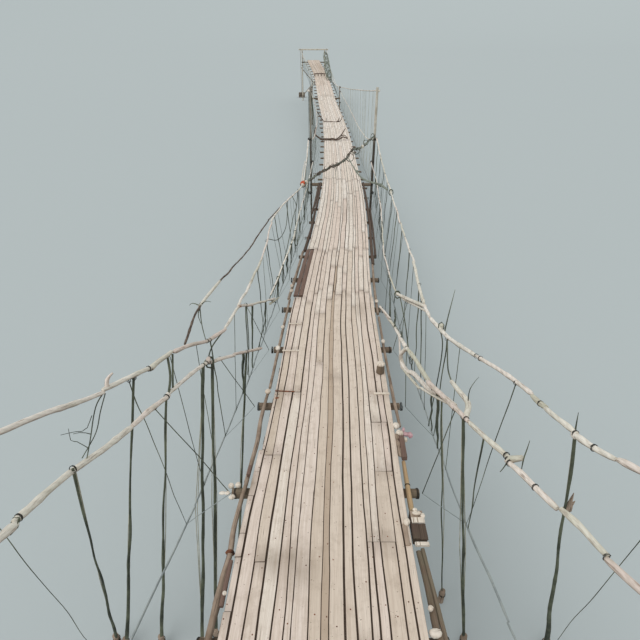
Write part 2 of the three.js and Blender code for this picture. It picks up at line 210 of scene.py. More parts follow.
# Sawn softwood bleached by the sun: warm cream, soft grain, hair cracks and trodden-in dirt, with painted
# shade on the sides and undersides of the boards so that the gaps read dark.
# Grain of a real 3 mm is drawn at 10 mm, as finer lines don't show at this distance.
boardGrain = (streaks, 10, 500, 4, 0.65)
boardWood = newFinish("bleached_softwood", {
    "shader": {"Roughness": 0.84, "Specular IOR Level": 0.3},
    "ramp": ("tone", (0, "#b9a591"), (0.08, "#d3c2b0"), (0.3, "#e0d1c2"), (0.5, "#e3d2c6"), (0.7, "#e9ddd0"),
             (1, "#f4ece3")),
    "layers": [
        ((streaks, 50, 1800), 0.45, 0.72, 0.5, "#b8a390"), (boardGrain, 0.62, 0.34, 0.5, "#b7a593"),
        ((blotches, 260, 5, 0.7), 0.5, 0.75, 0.45, "#a3907e"),
        ((streaks, 16, 650, 2), 0.32, 0.26, 0.85, "#5b4a3c"), ((blotches, 34, 1), 0.72, 0.78, 0.8, "#6b5847"),
        # Real stains from the wear value, then painted shade from the edge value on board sides and
        # undersides
        ("wear", 0, 1, 1, "#8d7d6c"), ("edge", 0.1, 1, 1, "#5f4a3b"),
    ],
    "relief": (boardGrain, 0.35, 0.0005),
})


# Sawn or hewn timber that never dries out: brown, with a greenish bloom along the grain
def dampTimber(name, light, dark, moss):
    grain = (streaks, 14, 500, 5, 0.7)
    return newFinish(name, {
        "shader": {"Roughness": 0.88, "Specular IOR Level": 0.3}, "ramp": (grain, (0.3, dark), (0.64, light)),
        "layers": [("tone", 1, 0, 0.4, dark), ((blotches, 500, 4), 0.52, 0.74, 0.55, moss)],
        "relief": (grain, 0.6, 0.0011),
    })


# Peeled conifer pole: long drying cracks, knots, and a warmer side where the bark came off late. Where a
# mesh asks for it, the wear value lays painted shade in the crack colour.
def peeledPole(name, light, mid, crackAndShadeColour):
    crack = (streaks, 24, 900, 2)
    return newFinish(name, {
        "shader": {"Roughness": 0.8, "Specular IOR Level": 0.35},
        "ramp": ((blotches, 420), (0.35, mid), (0.65, light)),
        "layers": [((streaks, 8, 260, 4), 0.6, 0.3, 0.45, mid), (crack, 0.4, 0.33, 0.85, crackAndShadeColour),
                   ("wear", 0, 1, 1, crackAndShadeColour)],
        "relief": (crack, 0.7, 0.0014),
    })


# Tarred cord and old creeper stems: near black, with a green-grey bloom where they have weathered
def weatheredCord(name, dark, bloom, size=700):
    return newFinish(name, {
        "shader": {"Roughness": 0.78, "IOR": 1.48, "Specular IOR Level": 0.3},
        "ramp": ((blotches, size, 4, 0.7), (0.42, dark), (0.66, bloom)),
        "relief": ((streaks, 12, 60), 0.4, 0.0004),
    })


# Old cloth tags, sun-faded in patches, with a coarse weave that is drawn at 12 mm to show
def fadedCloth(name, light, dark):
    return newFinish(name, {
        "shader": {"Roughness": 0.92, "Specular IOR Level": 0.2},
        "ramp": ((blotches, 180, 3), (0.4, dark), (0.62, light)),
        "relief": ((streaks, 12, 12, 1), 0.5, 0.0006),
    })


frameWood = dampTimber("damp_brown_timber", "#8b7a69", "#574739", "#75735e")
lathWood = dampTimber("shaded_cross_laths", "#66564a", "#40352c", "#4a4638")
redWood = dampTimber("red_brown_timber", "#8a7164", "#5f4b42", "#6e6156")
logWood = dampTimber("dark_edge_logs", "#6f5d51", "#40332c", "#57503f")
yellowWood = dampTimber("ochre_stained_pole", "#cfb28c", "#a38562", "#b3a27d")
poleWood = peeledPole("peeled_grey_pole", "#a89a87", "#7f7060", "#3a312a")
sidePoleWood = peeledPole("brown_side_pole", "#b09c8a", "#83705f", "#493b31")
paleWood = peeledPole("pale_cut_timber", "#ece3d6", "#d0bfac", "#866f5c")
mastWood = peeledPole("sun_bleached_mast", "#d8d2c4", "#b7ad9c", "#4c453c")
creeper = weatheredCord("old_creeper_stems", "#4a3d35", "#7d6c5e", 160)
greyCord = weatheredCord("grey_green_cord", "#6c7165", "#94988c", 500)
greyTwine = weatheredCord("grey_twine", "#8b9190", "#a4a9a5", 400)
hangerCord = weatheredCord("weathered_hanger_cord", "#3c4035", "#676b57")
paleCord = weatheredCord("pale_twine", "#8e8b78", "#c4bfab", 400)
lashingCord = weatheredCord("tarred_lashing", "#24221d", "#3b3831", 100)
orangeCloth = fadedCloth("faded_orange_cloth", "#d9744f", "#b9503a")
pinkCloth = fadedCloth("faded_pink_cloth", "#d3b0b2", "#a27a7f")

# Thick rope of twisted withes in butted lengths: cream and lichen green on top, with painted shade in
# pinkish brown on the underside, and a diagonal lay
ropeLay = (diagonalLay, 230)
ropeFibre = newFinish("bleached_withe_rope", {
    "shader": {"Roughness": 0.85, "Specular IOR Level": 0.3},
    "ramp": ("tone", (0, "#c3c0ad"), (0.3, "#dcd6c8"), (0.6, "#e8e1d6"), (0.85, "#e5d8cd"), (1, "#d6c6bb")),
    "layers": [
        ((blotches, 300, 4), 0.5, 0.72, 0.45, "#a9a891"), (ropeLay, 0.4, 0.0, 0.16, "#94836f"),
        ((streaks, 9, 140), 0.48, 0.32, 0.45, "#8d7a68"),
        ((streaks, 30, 320, 4), 0.57, 0.64, 0.65, "#866f60"),
        # Painted shade on the underside of each rope, then real brown stretches
        ("below", 0.5, 0.85, 0.85, "#806a5b"), ("wear", 0, 1, 1, "#96613f"),
    ],
    "relief": (ropeLay, 0.5, 0.0009),
})

# River stone: dull grey with paler lichen spots and dark specks
stonePatch = (blotches, 140, 5, 0.65)
stone = newFinish("grey_river_stone", {
    "shader": {"Roughness": 0.8, "IOR": 1.5, "Specular IOR Level": 0.4},
    "ramp": (stonePatch, (0.3, "#5b5954"), (0.52, "#85827a"), (0.7, "#a09c91")),
    "layers": [((blotches, 60), 0.6, 0.7, 0.5, "#b2b49a")], "relief": (stonePatch, 0.6, 0.002),
})

# Wrought iron left to rust: dark brown with orange bloom
rustBloom = (blotches, 90, 4)
rust = newFinish("rusted_iron", {
    "shader": {"Roughness": 0.7, "IOR": 1.5, "Specular IOR Level": 0.5, "Metallic": 0.35},
    "ramp": (rustBloom, (0.35, "#3f2b22"), (0.6, "#8f5637")), "relief": (rustBloom, 0.5, 0.0004),
})
print("materials made")

# Meshes are gathered as tubes: rings of points joined by quads, with a cap at each end
# Of these, edge lays painted shade on board sides, the underside value lays painted shade under ropes, and
# wear carries real stains and, low on the first masts, painted shade
carried = ("tone", "wear", "edge", "below")  # values that a mesh carries for its finish


def newShape():
    return {"count": 0} | {name: [] for name in ("points", "quads", "uvs", "caps", "capUvs") + carried}


def addTube(shape, rings, around, along, tone, wear=0, edge=0, below=0):
    rings = np.asarray(rings, dtype=float)
    count, sides = rings.shape[:2]
    first = shape["count"]
    ring = np.arange(count - 1)[:, None]
    side = np.arange(sides)[None, :]
    corners = [ring * sides + side, ring * sides + (side + 1) % sides]
    corners += [corners[1] + sides, corners[0] + sides]
    shape["quads"].append((first + np.stack(corners, axis=-1)).reshape(-1, 4))
    around, along = np.asarray(around), np.asarray(along)
    full = np.ones((count - 1, sides))
    corner = [(around[side], along[ring]), (around[side + 1], along[ring]),
              (around[side + 1], along[ring + 1]), (around[side], along[ring + 1])]
    shape["uvs"].append(np.stack([np.stack([u * full, v * full], -1) for u, v in corner], 2).reshape(-1, 2))
    for cap, place in ((np.arange(sides)[::-1], 0), (np.arange(sides) + (count - 1) * sides, -1)):
        shape["caps"].append((first + cap).tolist())
        shape["capUvs"] += [(around[i], along[place] + 0.1 * (i % 2)) for i in range(sides)]
    shape["points"].append(rings.reshape(-1, 3))
    for name, values in zip(carried, (tone, wear, edge, below)):
        shape[name].append(np.broadcast_to(values, (count, sides)).reshape(-1))
    shape["count"] += count * sides


def makePiece(shape, name, material, slot, *nodes, smooth=True):
    mesh = bpy.data.meshes.new(name)
    quads = np.concatenate(shape["quads"])
    mesh.from_pydata(np.concatenate(shape["points"]).tolist(), [], quads.tolist() + shape["caps"])
    uvs = np.concatenate(shape["uvs"] + [np.array(shape["capUvs"])])
    mesh.uv_layers.new(name="lengthwise").data.foreach_set("uv", uvs.astype(np.float32).ravel())
    for value in carried:
        made = mesh.attributes.new(value, "FLOAT", "POINT")
        made.data.foreach_set("value", np.concatenate(shape[value]).astype(np.float32))
    work = bmesh.new()
    work.from_mesh(mesh)
    bmesh.ops.recalc_face_normals(work, faces=work.faces)
    work.to_mesh(mesh)
    work.free()
    if smooth:
        mesh.shade_smooth()
        mesh.set_sharp_from_angle(angle=math.radians(50))
    mesh.materials.append(material)
    return settle(addObject(name, mesh), slot, *nodes)


def settle(piece, slot, *nodes):
    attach(piece, "root")
    if nodes:
        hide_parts(*nodes)
    return piece


# A smooth centripetal curve through some points, as the part's source draws it
def smoothCurve(points, perSpan):
    points = [np.asarray(p, dtype=float) for p in points]
    ends = [2 * points[0] - points[1]] + points + [2 * points[-1] - points[-2]]
    curve = []
    for p0, p1, p2, p3 in zip(ends, ends[1:], ends[2:], ends[3:]):
        d0, d1, d2 = (max(np.linalg.norm(b - a) ** 0.5, 1e-6) for a, b in ((p0, p1), (p1, p2), (p2, p3)))
        m1 = ((p1 - p0) / d0 - (p2 - p0) / (d0 + d1) + (p2 - p1) / d1) * d1
        m2 = ((p2 - p1) / d1 - (p3 - p1) / (d1 + d2) + (p3 - p2) / d2) * d1
        for t in np.arange(perSpan) / perSpan:
            curve.append((2 * t ** 3 - 3 * t ** 2 + 1) * p1 + (t ** 3 - 2 * t ** 2 + t) * m1
                         + (3 * t ** 2 - 2 * t ** 3) * p2 + (t ** 3 - t ** 2) * m2)
    return np.array(curve + [points[-1]])


def evenly(curve, spacing):
    lengths = np.concatenate([[0], np.cumsum(np.linalg.norm(np.diff(curve, axis=0), axis=1))])
    count = max(int(round(lengths[-1] / spacing)), 2)
    wanted = np.linspace(0, lengths[-1], count + 1)
    return np.stack([np.interp(wanted, lengths, curve[:, i]) for i in range(3)], -1), wanted / modelScale


# Small unevenness: a smooth random value, one for each angle of a ring, and swellings at some places
def wobble(value, seed):
    return noise.noise(Vector((value, seed * 7.31, seed * 3.17)))


def skin(angles, place, seed):
    return np.array([wobble(place + math.cos(a), seed + math.sin(a)) for a in angles])


def swelling(value, places, width):
    return sum(math.exp(-((value - place) / width) ** 2) for place in places)


# Rings round a path, kept from twisting. radiusAt takes a ring's number and the angles round it.
def ringsAlong(path, sides, radiusAt):
    tangents = np.gradient(path, axis=0)
    tangents /= np.linalg.norm(tangents, axis=1)[:, None] + 1e-12
    side = np.cross(tangents[0], (0.0, 0.0, 1.0))
    if np.linalg.norm(side) < 0.05:
        side = np.array([1.0, 0.0, 0.0])
    angles = 2 * math.pi * np.arange(sides) / sides
    rings = []
    for i, (centre, tangent) in enumerate(zip(path, tangents)):
        side = side - tangent * side.dot(tangent)
        side /= np.linalg.norm(side)
        up = np.cross(side, tangent)
        radii = radiusAt(i, angles)
        out, rise = (np.cos(angles) * radii)[:, None], (np.sin(angles) * radii)[:, None]
        rings.append(centre + out * side + rise * up)
    return np.array(rings)


def roundUvs(radius, sides, seed):
    return 2 * math.pi * radius * np.arange(sides + 1) / sides + seed


# How low each point sits on its ring: this share lays painted shade on the undersides of ropes and limbs
def undersideShadeShare(rings):
    middle = rings.mean(axis=1, keepdims=True)
    reach = np.linalg.norm(rings - middle, axis=2) + 1e-9
    return np.clip(0.5 + 0.5 * (middle - rings)[..., 2] / reach, 0, 1)


barkPace, swellHeight, swellReach = 1.6, 0.12, 0.09


# A pole, branch or stub along a smooth curve: radii run from its start to its end
def addLimb(shape, places, radii, sides=10, spacing=0.12, rough=0.09, knots=0.5, paintedShadeAt=None):
    path, along = evenly(smoothCurve(places, 16), spacing * modelScale)
    seed = random.uniform(0, 90)
    girths = np.interp(along / along[-1], np.linspace(0, 1, len(radii)), radii) * modelScale
    swollen = [random.uniform(0, along[-1]) for _ in range(int(along[-1] * knots + random.random()))]

    def radiusAt(i, angles):
        swell = min(swelling(along[i], swollen, swellReach), 1)
        return girths[i] * (1 + rough * skin(angles, along[i] * barkPace, seed) + swellHeight * swell)

    rings = ringsAlong(path, sides, radiusAt)
    wear = 0 if paintedShadeAt is None else np.array([[paintedShadeAt(share)] for share in along / along[-1]])
    addTube(shape, rings, roundUvs(max(radii), sides, seed), along + seed, random.random(), wear, 0,
            undersideShadeShare(rings))


# A round knob, block or bundle, by its centre and half sizes in full-size metres
def addLump(shape, centre, size, sides=10, levels=7, rough=0.16):
    seed = random.uniform(0, 90)
    angles = 2 * math.pi * np.arange(sides) / sides
    rings = []
    for lift in np.linspace(0.12, math.pi - 0.12, levels):
        width = math.sin(lift) ** 0.7
        ring = np.stack([np.cos(angles) * width * size[0], np.sin(angles) * width * size[1],
                         np.full(sides, -math.cos(lift)) * size[2]], -1)
        rings.append(centre + ring * (1 + rough * skin(angles, lift * 1.5, seed))[:, None] * modelScale)
    addTube(shape, rings, roundUvs(size[0], sides, seed), np.linspace(0, 2 * size[2], levels) + seed,
            random.random())


# A squared timber or plank along the deck, by its offsets and heights
def addTimber(shape, start, end, left, right, top, bottom, chamfer=0.012, step=0.8, rough=0.006):
    stations = np.linspace(start, end, max(int((end - start) / step), 2) + 1)
    seed = random.uniform(0, 50)
    rings = []
    for station in stations:
        shift = rough * wobble(station * 1.3, seed)
        rise = rough * wobble(station * 1.1, seed + 4)
        rings.append([deckPoint(station, offset + shift, height + rise) for offset, height in (
            (left, bottom + chamfer), (left + chamfer, bottom), (right - chamfer, bottom),
            (right, bottom + chamfer), (right, top - chamfer), (right - chamfer, top),
            (left + chamfer, top), (left, top - chamfer))])
    width, depth = right - left, top - bottom
    across = np.cumsum([0, chamfer, width, chamfer, depth, chamfer, width, chamfer, depth]) + seed
    addTube(shape, rings, across, stations + seed, random.random())


# One piece from several limbs, lumps or planks, each given by its place on the bridge
def limbs(entries, name, material, slot, *nodes, sides=10, spacing=0.1, rough=0.09, knots=0.5):
    shape = newShape()
    for rows, radii in entries:
        addLimb(shape, deckPoints(rows), radii, sides, spacing, rough, knots)
    return makePiece(shape, name, material, slot, *nodes)


def addLumps(shape, rows, *look):
    for station, offset, height, size in rows:
        addLump(shape, deckPoint(station, offset, height), size, *look)


def lumps(rows, name, material, slot, *nodes, look=()):
    shape = newShape()
    addLumps(shape, rows, *look)
    return makePiece(shape, name, material, slot, *nodes)


def planks(rows, name, material, slot, *nodes):
    shape = newShape()
    for row in rows:
        addTimber(shape, *row)
    return makePiece(shape, name, material, slot, *nodes)


# Deck boards, in rows that run the whole length. Gaps wander as hewn edges do.
deck = {
    "rows": 17, "gap": 0.02, "gapShares": (0.18, 0.3, 0.45, 0.7), "thickness": 0.03, "half": 1.35,
    "chamfer": 0.005, "ring": 0.35, "wander": 0.026, "drift": 0.034, "shortest": 7, "longest": 19,
    "firstLoose": 9, "tanRowAt": 0.09, "tanWidth": 0.1, "seed": 14, "nail": 0.011, "nailSpacing": 1.2,
    "lift": (-0.006, 0.004), "curls": (0, 0, 0.004, 0.008), "curlReach": 0.3, "cup": 0.002,
}
deckSections = [  # start, end, left edge, right edge
    (-1.5, 13.2, -1.35, 1.35), (13.2, 18, -1.02, 1.32), (18, 31.5, -1.3, 1.33), (31.5, 54, -1.33, 1.33),
    (54, 76.5, -1.3, 1.3), (76.5, 93, -1.3, 1.3), (93, 110.5, -1.28, 1.28),
]
openJoints = [  # station, from offset, to offset
    (5.54, 0.85, 1.2), (4.09, 0.65, 1.0), (8.56, 0, 0.2), (7.96, -1.35, -0.75), (9.77, -1.35, -0.8),
    (7.88, 0.95, 1.35), (6.9, 0.95, 1.25), (11.3, -1.35, -0.85), (15.3, 0.2, 0.5), (5.95, -1.2, -0.85),
    (3.76, -1.1, -0.8), (16, -0.3, 0.35), (2.6, 0.5, 0.7), (0.8, -0.4, 0.3), (12, -0.5, -0.3),
]
steppedEdge = [  # breaks in the left edge, and each short board's edge after them
    (-1.5, -1.4), (3.05, -1.34), (3.84, -1.37), (4.24, -1.39), (4.98, -1.38), (5.54, -1.4), (6.1, -1.29),
]
stains = [  # station, offset, reach along, reach across, strength
    (3.82, -0.72, 0.16, 0.2, 0.7), (3.72, -0.45, 0.24, 0.24, 0.8), (3.55, -0.2, 0.2, 0.16, 0.5),
    (5.28, -1.33, 0.12, 0.08, 0.9), (7.7, -1.15, 0.2, 0.14, 0.6), (12.3, 0.9, 0.6, 0.25, 0.35),
    (24, 0.3, 1.5, 0.4, 0.2), (77, 0, 1.2, 0.6, 0.3), (88, 0.1, 2, 0.5, 0.3), (4.6, 0.9, 0.5, 0.1, 0.25),
    (102, 0, 8, 3, 0.25),
]

random.seed(deck["seed"])
shares = [random.uniform(0.62, 1.38) for _ in range(deck["rows"])]
rowEdges = -deck["half"] + 2 * deck["half"] * np.concatenate([[0], np.cumsum(shares)]) / sum(shares)
tanRow = int(np.searchsorted(rowEdges, deck["tanRowAt"])) - 1
rowEdges[tanRow + 1] = rowEdges[tanRow] + deck["tanWidth"]


def rowLine(index, station):
    if index in (0, deck["rows"]):
        return rowEdges[index]
    calm = np.interp(station, (20, 50), (1, 0.35))
    crooked = wobble(station * 0.55, index + 0.5) + 0.4 * wobble(station * 1.6, index)
    drifting = wobble(station * 0.13, index + 40.5)
    return rowEdges[index] + deck["wander"] * calm * crooked + deck["drift"] * drifting


def stainAt(station, offset):
    return max(strength * math.exp(-((station - place) / reach) ** 2 - ((offset - across) / width) ** 2)
               for place, across, reach, width, strength in stains)


nailPlaces = []
beams = {"first": 0.25, "spacing": 2.5, "last": 108}


def beamStations(start, end):
    first, count = (math.ceil((place - beams["first"]) / beams["spacing"]) for place in (start, end))
    return [beams["first"] + i * beams["spacing"] for i in range(first, count)]


def addBoard(shape, row, start, end, leftLimit, rightLimit, tone):
    stations = np.linspace(start, end, max(int((end - start) / deck["ring"]), 2) + 1)
    gaps = [random.choice(deck["gapShares"]) * deck["gap"] * (1 if start < 35 else 0.7) for _ in range(2)]
    lift = random.uniform(*deck["lift"])
    curl = [random.choice(deck["curls"]) for _ in range(2)]
    cup, lean = (random.uniform(-deck["cup"], deck["cup"]) for _ in range(2))
    c, bottom = deck["chamfer"], -deck["thickness"]
    rings, wear = [], []
    for station in stations:
        left = max(rowLine(row, station), leftLimit) + gaps[0]
        right = max(min(rowLine(row + 1, station), rightLimit) - gaps[1], left + 0.02)
        curled = [math.exp(-far / deck["curlReach"]) for far in (station - start, end - station)]
        top = lift + curl[0] * curled[0] + curl[1] * curled[1]
        outline = [
            (left, bottom), (right, bottom), (right, top - c + lean), (right - c, top + lean),
            ((left + right) / 2, top + cup), (left + c, top - lean), (left, top - c - lean),
        ]
        rings.append(deckPoints([(station, offset, height) for offset, height in outline]))
        wear.append([stainAt(station, offset) for offset, _ in outline])
    width = right - left
    across = random.uniform(0, 20) + np.array([0, width, width, width, width / 2, 0, 0, 0])
    # Painted shade: full on the sides and undersides that show in the gaps, none on the top, a share over
    # each butt end
    edge = np.tile([1, 1, 1, 0.1, 0, 0.1, 1], (len(rings), 1))
    edge[0] = edge[-1] = np.maximum(edge[0], 0.35)
    addTube(shape, rings, across, stations + random.uniform(0, 30), tone, wear, edge)
    spacing = deck["nailSpacing"]
    spots = [start + 0.09, end - 0.09] + list(np.arange(start + random.uniform(0.5, 1.2), end - 0.4, spacing))
    for spot in spots:
        spot += random.uniform(-0.3, 0.3) if start + 0.4 < spot < end - 0.4 else 0
        left = max(rowLine(row, spot), leftLimit)
        width = min(rowLine(row + 1, spot), rightLimit) - left
        nailPlaces.append(deckPoint(spot, left + width * random.choice((0.25, 0.5, 0.75)), lift + 0.001))


def rowBreaks(row):
    breaks = [s for s, low, high in openJoints if low < (rowEdges[row] + rowEdges[row + 1]) / 2 < high]
    for before, after in zip(deckSections, deckSections[1:]):
        outside = rowEdges[row] < max(before[2], after[2]) or row == deck["rows"] - 1
        breaks.append(before[1] + (0 if outside else random.uniform(-0.65, 0.65)))
    station = deck["firstLoose"] + random.uniform(0, deck["longest"])
    while station < deckSections[-1][1]:
        breaks.append(station)
        station += random.uniform(deck["shortest"], deck["longest"])
    kept = [deckSections[0][0]]
    for station in sorted(breaks):
        if station - kept[-1] > 0.9:
            kept.append(station)
    while deckSections[-1][1] - kept[-1] < 1:
        kept.pop()
    return kept + [deckSections[-1][1]]


boardShapes = [newShape() for _ in deckSections]
for row in range(deck["rows"]):
    breaks = rowBreaks(row)
    if row == 0:
        breaks = [s for s, _ in steppedEdge] + [s for s in breaks if s > 7.2]
    for start, end in zip(breaks, breaks[1:]):
        middle = (start + end) / 2
        number = next(i for i, section in enumerate(deckSections) if middle < section[1])
        _, _, left, right = deckSections[number]
        if rowEdges[row + 1] < left + 0.04 or rowEdges[row] > right - 0.04:
            continue
        # Boards are palest in the middle of the bridge and darker towards both ends; towards the far end this
        # is painted shade
        bleachedAndUnshaded = np.interp(middle, (8, 28, 75, 95), (0, 1, 1, 0))
        tone = 0.1 + 0.5 * bleachedAndUnshaded + (0.62 - 0.22 * bleachedAndUnshaded) * random.random()
        if row == tanRow and middle < 16:
            tone = 0.0
        if row == 0 and number == 0:
            left = next((edge for s, edge in reversed(steppedEdge) if middle > s), left)
            tone = 0.55
        addBoard(boardShapes[number], row, start + 0.005, end - 0.005, left, right, tone)
for number, shape in enumerate(boardShapes, 1):
    makePiece(shape, f"boards_{number}", boardWood, "deck_boards", f"deck_section_{number}", smooth=False)

# Cross laths close under the boards, finished dark as painted shade that shows through the gaps
laths = {"pitch": 0.21, "width": 0.207, "top": -0.031, "bottom": -0.05, "inset": 0.05, "seed": 15}
random.seed(laths["seed"])
for number, (start, end, left, right) in enumerate(deckSections, 1):
    shape = newShape()
    for station in np.arange(start + 0.12, end - 0.05, laths["pitch"]):
        first = left + laths["inset"] * random.uniform(0.8, 2)
        last = right - laths["inset"] * random.uniform(0.8, 2)
        corners = [(station + laths["width"] * side / 2, laths[level])
                   for side, level in ((-1, "bottom"), (1, "bottom"), (1, "top"), (-1, "top"))]
        rings = [deckPoints([(place, offset, height) for place, height in corners])
                 for offset in (first, (first + last) / 2, last)]
        seed = random.uniform(0, 40)
        across = np.array([0, 0.19, 0.21, 0.4, 0.42]) + seed
        addTube(shape, rings, across, np.array([0, 1.3, 2.6]) + seed, random.random())
    makePiece(shape, f"cross_laths_{number}", lathWood, "frame_timber", f"deck_section_{number}",
              smooth=False)
print("boards laid", len(nailPlaces))

# Under-frame: stringers and round cross-beams
underFrame = {
    "ends": [-1.4, 14, firstMast, 54, secondMast, 94, 110.4], "stringers": (-1.12, 0, 1.12), "width": 0.14,
    "top": -0.053, "depth": 0.15, "beamRadius": 0.09, "beamHalf": 1.7, "beamHeight": -0.273, "lashedAt": 1.64,
    "seed": 21,
}
random.seed(underFrame["seed"])
lashings = []  # centre, axis, radius
for number, (start, end) in enumerate(zip(underFrame["ends"], underFrame["ends"][1:]), 1):
    shape = newShape()
    half, top, height = underFrame["width"] / 2, underFrame["top"], underFrame["beamHeight"]
    for offset in underFrame["stringers"]:
        addTimber(shape, start + 0.005, end, offset - half, offset + half, top, top - underFrame["depth"])
    for station in beamStations(start + 0.3, min(end - 0.3, beams["last"])):
        left, right = (underFrame["beamHalf"] * random.uniform(0.93, 1.0) for _ in range(2))
        girth = underFrame["beamRadius"] * (1 if station < 16 else 0.75)
        addLimb(shape, deckPoints([(station, -left, height), (station, 0, height), (station, right, height)]),
                [girth, girth * 0.97, girth * 0.92], 12, 0.3, 0.05, 0.4)
        for sign in (-1, 1) if station < firstMast else ():
            place = deckPoint(station, sign * underFrame["lashedAt"], height)
            lashings.append((place, (1, 0, 0), girth * 0.98))
    makePiece(shape, f"frame_timbers_{number}", frameWood, "frame_timber", f"under_frame_{number}")
print("under-frame built")

# Routes of the ropes, repeated from the part's source: station, distance from the middle, height
capHeight, farCapHeight, capRadius, legRadius, mastRadius, mastOffset = 4.4, 2, 0.13, 0.16, 0.1, 2.1
ropeRadius, thinRadius, strandRadius, ropeGap, buttGap = 0.046, 0.032, 0.022, 0.004, 0.012
mastFlat = mastRadius * math.cos(math.pi / 10)
besideMast = mastOffset + mastFlat + ropeRadius + ropeGap
insideMast = mastOffset - mastFlat - thinRadius - ropeGap
nearSaddle = (-1 + capRadius + 2 * ropeGap, 3.95, capHeight)
nearLegTie = (-1 + legRadius + 7 * ropeGap, 3.5, 3.3)
farSaddle = (110 - capRadius - 2 * ropeGap, 2.75, farCapHeight)
beforeFirst, afterFirst = firstMast - buttGap, firstMast + buttGap
beforeSecond, afterSecond = secondMast - buttGap, secondMast + buttGap
nearStorm = [(-0.812, 3.5, -0.9), (3, 2.9, -1.1), (8, 2.5, -1.25), (16, 2.3, -1.3), (24, 2.2, -1.2),
             (beforeFirst, besideMast, -0.9)]
middleLower = {
    "hand": [(afterFirst, besideMast, 2.65), (38, 2.15, 1.7), (46, 2.05, 1.25), (54, 2, 1.15),
             (62, 2.05, 1.1), (70, 2.15, 0.85), (beforeSecond, besideMast, 0.6)],
    "storm": [(afterFirst, besideMast, -0.9), (54, 2.1, -1.2), (beforeSecond, besideMast, -0.9)],
}
farRoutes = {
    "upper": [(afterSecond, besideMast, 1.2), (81, 1.95, 0.75), (86, 1.65, 0.5), (93, 1.8, 0.55),
              (101, 2.2, 1.05), farSaddle],
    "hand": [(afterSecond, besideMast, 0.6), (84, 2.05, 0.35), (93, 2.1, 0.3), (102, 2.2, 0.45),
             (109.812, 2.35, 0.95)],
    "storm": [(afterSecond, besideMast, -0.9), (93, 2.1, -1.2), (109.812, 2.35, -0.9)],
}
routes = {
    ("left", "near"): {
        "upper": [nearSaddle, (3.36, 3.32, 3.1), (4.8, 3.1, 2.5), (5.7, 2.87, 2.25), (6.9, 2.72, 2),
                  (7.7, 2.54, 1.6), (8.4, 2.36, 1.5), (9.5, 2.29, 1.5), (10.95, 2.2, 0.85),
                  (12.6, 1.85, 0.25)],
        "lower": [nearLegTie, (2.54, 3.02, 2.5), (3.6, 2.9, 2.3), (4.64, 2.8, 1.93), (5.64, 2.66, 1.73),
                  (7.1, 2.52, 1.37), (9.6, 1.82, 0.2)],
        "hand": [(9.5, 2.29, 1.5), (13.6, 2.39, 1.2), (17.2, 2.6, 1.5), (20.5, 2.47, 1.5), (23.9, 2.11, 1.4),
                 (28, 2.2, 1.9), (beforeFirst, besideMast, 2.6)],
        "outer": [(6.9, 2.72, 2), (8, 2.9, 2), (10.1, 2.9, 1.85), (14.4, 2.9, 1.35), (17.2, 2.8, 1.45),
                  (20.5, 2.47, 1.5)],
        "inner": [(12.4, 1.95, 0.45), (14.1, 1.58, 1.25), (20, 1.8, 1.2), (26, 1.95, 1.15),
                  (beforeFirst, insideMast, 1.2)],
        "storm": nearStorm,
    },
    ("right", "near"): {
        "upper": [nearSaddle, (3.1, 3.28, 2.7), (3.92, 3.04, 2.5), (5, 2.88, 2.36), (6.64, 2.6, 1.95),
                  (7.8, 2.41, 1.6), (9.04, 2.23, 1.6), (11.2, 2.27, 1.9), (13.8, 2.33, 1.8),
                  (20.8, 2.35, 1.7), (26, 2.25, 2), (beforeFirst, besideMast, 2.7)],
        "lower": [nearLegTie, (2.1, 2.8, 2.3), (3.32, 2.47, 2.15), (4.92, 2.08, 1.85), (6.4, 1.8, 1.5),
                  (7.64, 1.61, 1.4), (10.2, 1.6, 0.7), (12.2, 1.5, 0.15)],
        "loop": [(5.4, 1.99, 1.74), (6.4, 1.76, 1.25), (7.8, 1.57, 0.8), (8.5, 1.62, 0.75), (8.9, 1.6, 1.06)],
        "inner": [(9.04, 2.23, 1.6), (11.1, 1.85, 1.1), (14, 1.7, 1.2), (20, 1.85, 1.2), (26, 1.95, 1.15),
                  (beforeFirst, insideMast, 1.2)],
        "storm": nearStorm,
    },
    ("left", "middle"): {
        "upper": [(afterFirst, besideMast, 5.5), (40, 2.45, 4.95), (48, 2.6, 4.35), (56, 2.65, 3.6),
                  (66, 2.5, 2.55), (beforeSecond, besideMast, 1.2)],
        **middleLower,
    },
    ("right", "middle"): {
        "upper": [(afterFirst, besideMast, 5.5), (40, 2.05, 4.95), (48, 1.9, 4.35), (56, 1.88, 3.6),
                  (66, 2.02, 2.55), (beforeSecond, besideMast, 1.2)],
        **middleLower,
    },
    ("left", "far"): farRoutes, ("right", "far"): farRoutes,
}
nearJoints = {  # where the lengths of each rope meet
    ("left", "upper"): [0.4, 1.9, 3.18, 4.8, 5.72, 6.43, 7.7, 8.4, 9.6, 10.9, 12.07],
    ("left", "lower"): [0.6, 2.65, 4.66, 5.68, 7.33, 8.3],
    ("left", "hand"): [11.3, 13.5, 17.0, 19.5, 22, 23.9, 27.2],
    ("left", "outer"): [8.6, 10.4, 12.4, 14.4, 17.4], ("left", "inner"): [14.1, 16.5, 20, 23, 26.5],
    ("right", "upper"): [0.6, 2, 3.39, 3.92, 4.5, 4.86, 6.5, 8.8, 9.43, 11.56, 14.17, 16, 18.5, 21.1, 24.5,
                         28],
    ("right", "lower"): [0.8, 2.46, 3.03, 3.92, 4.84, 6.38, 7.64, 9.3, 10.4],
    ("right", "loop"): [6.6, 7.8], ("right", "inner"): [11.1, 12.5, 15, 18, 21, 25, 28],
}
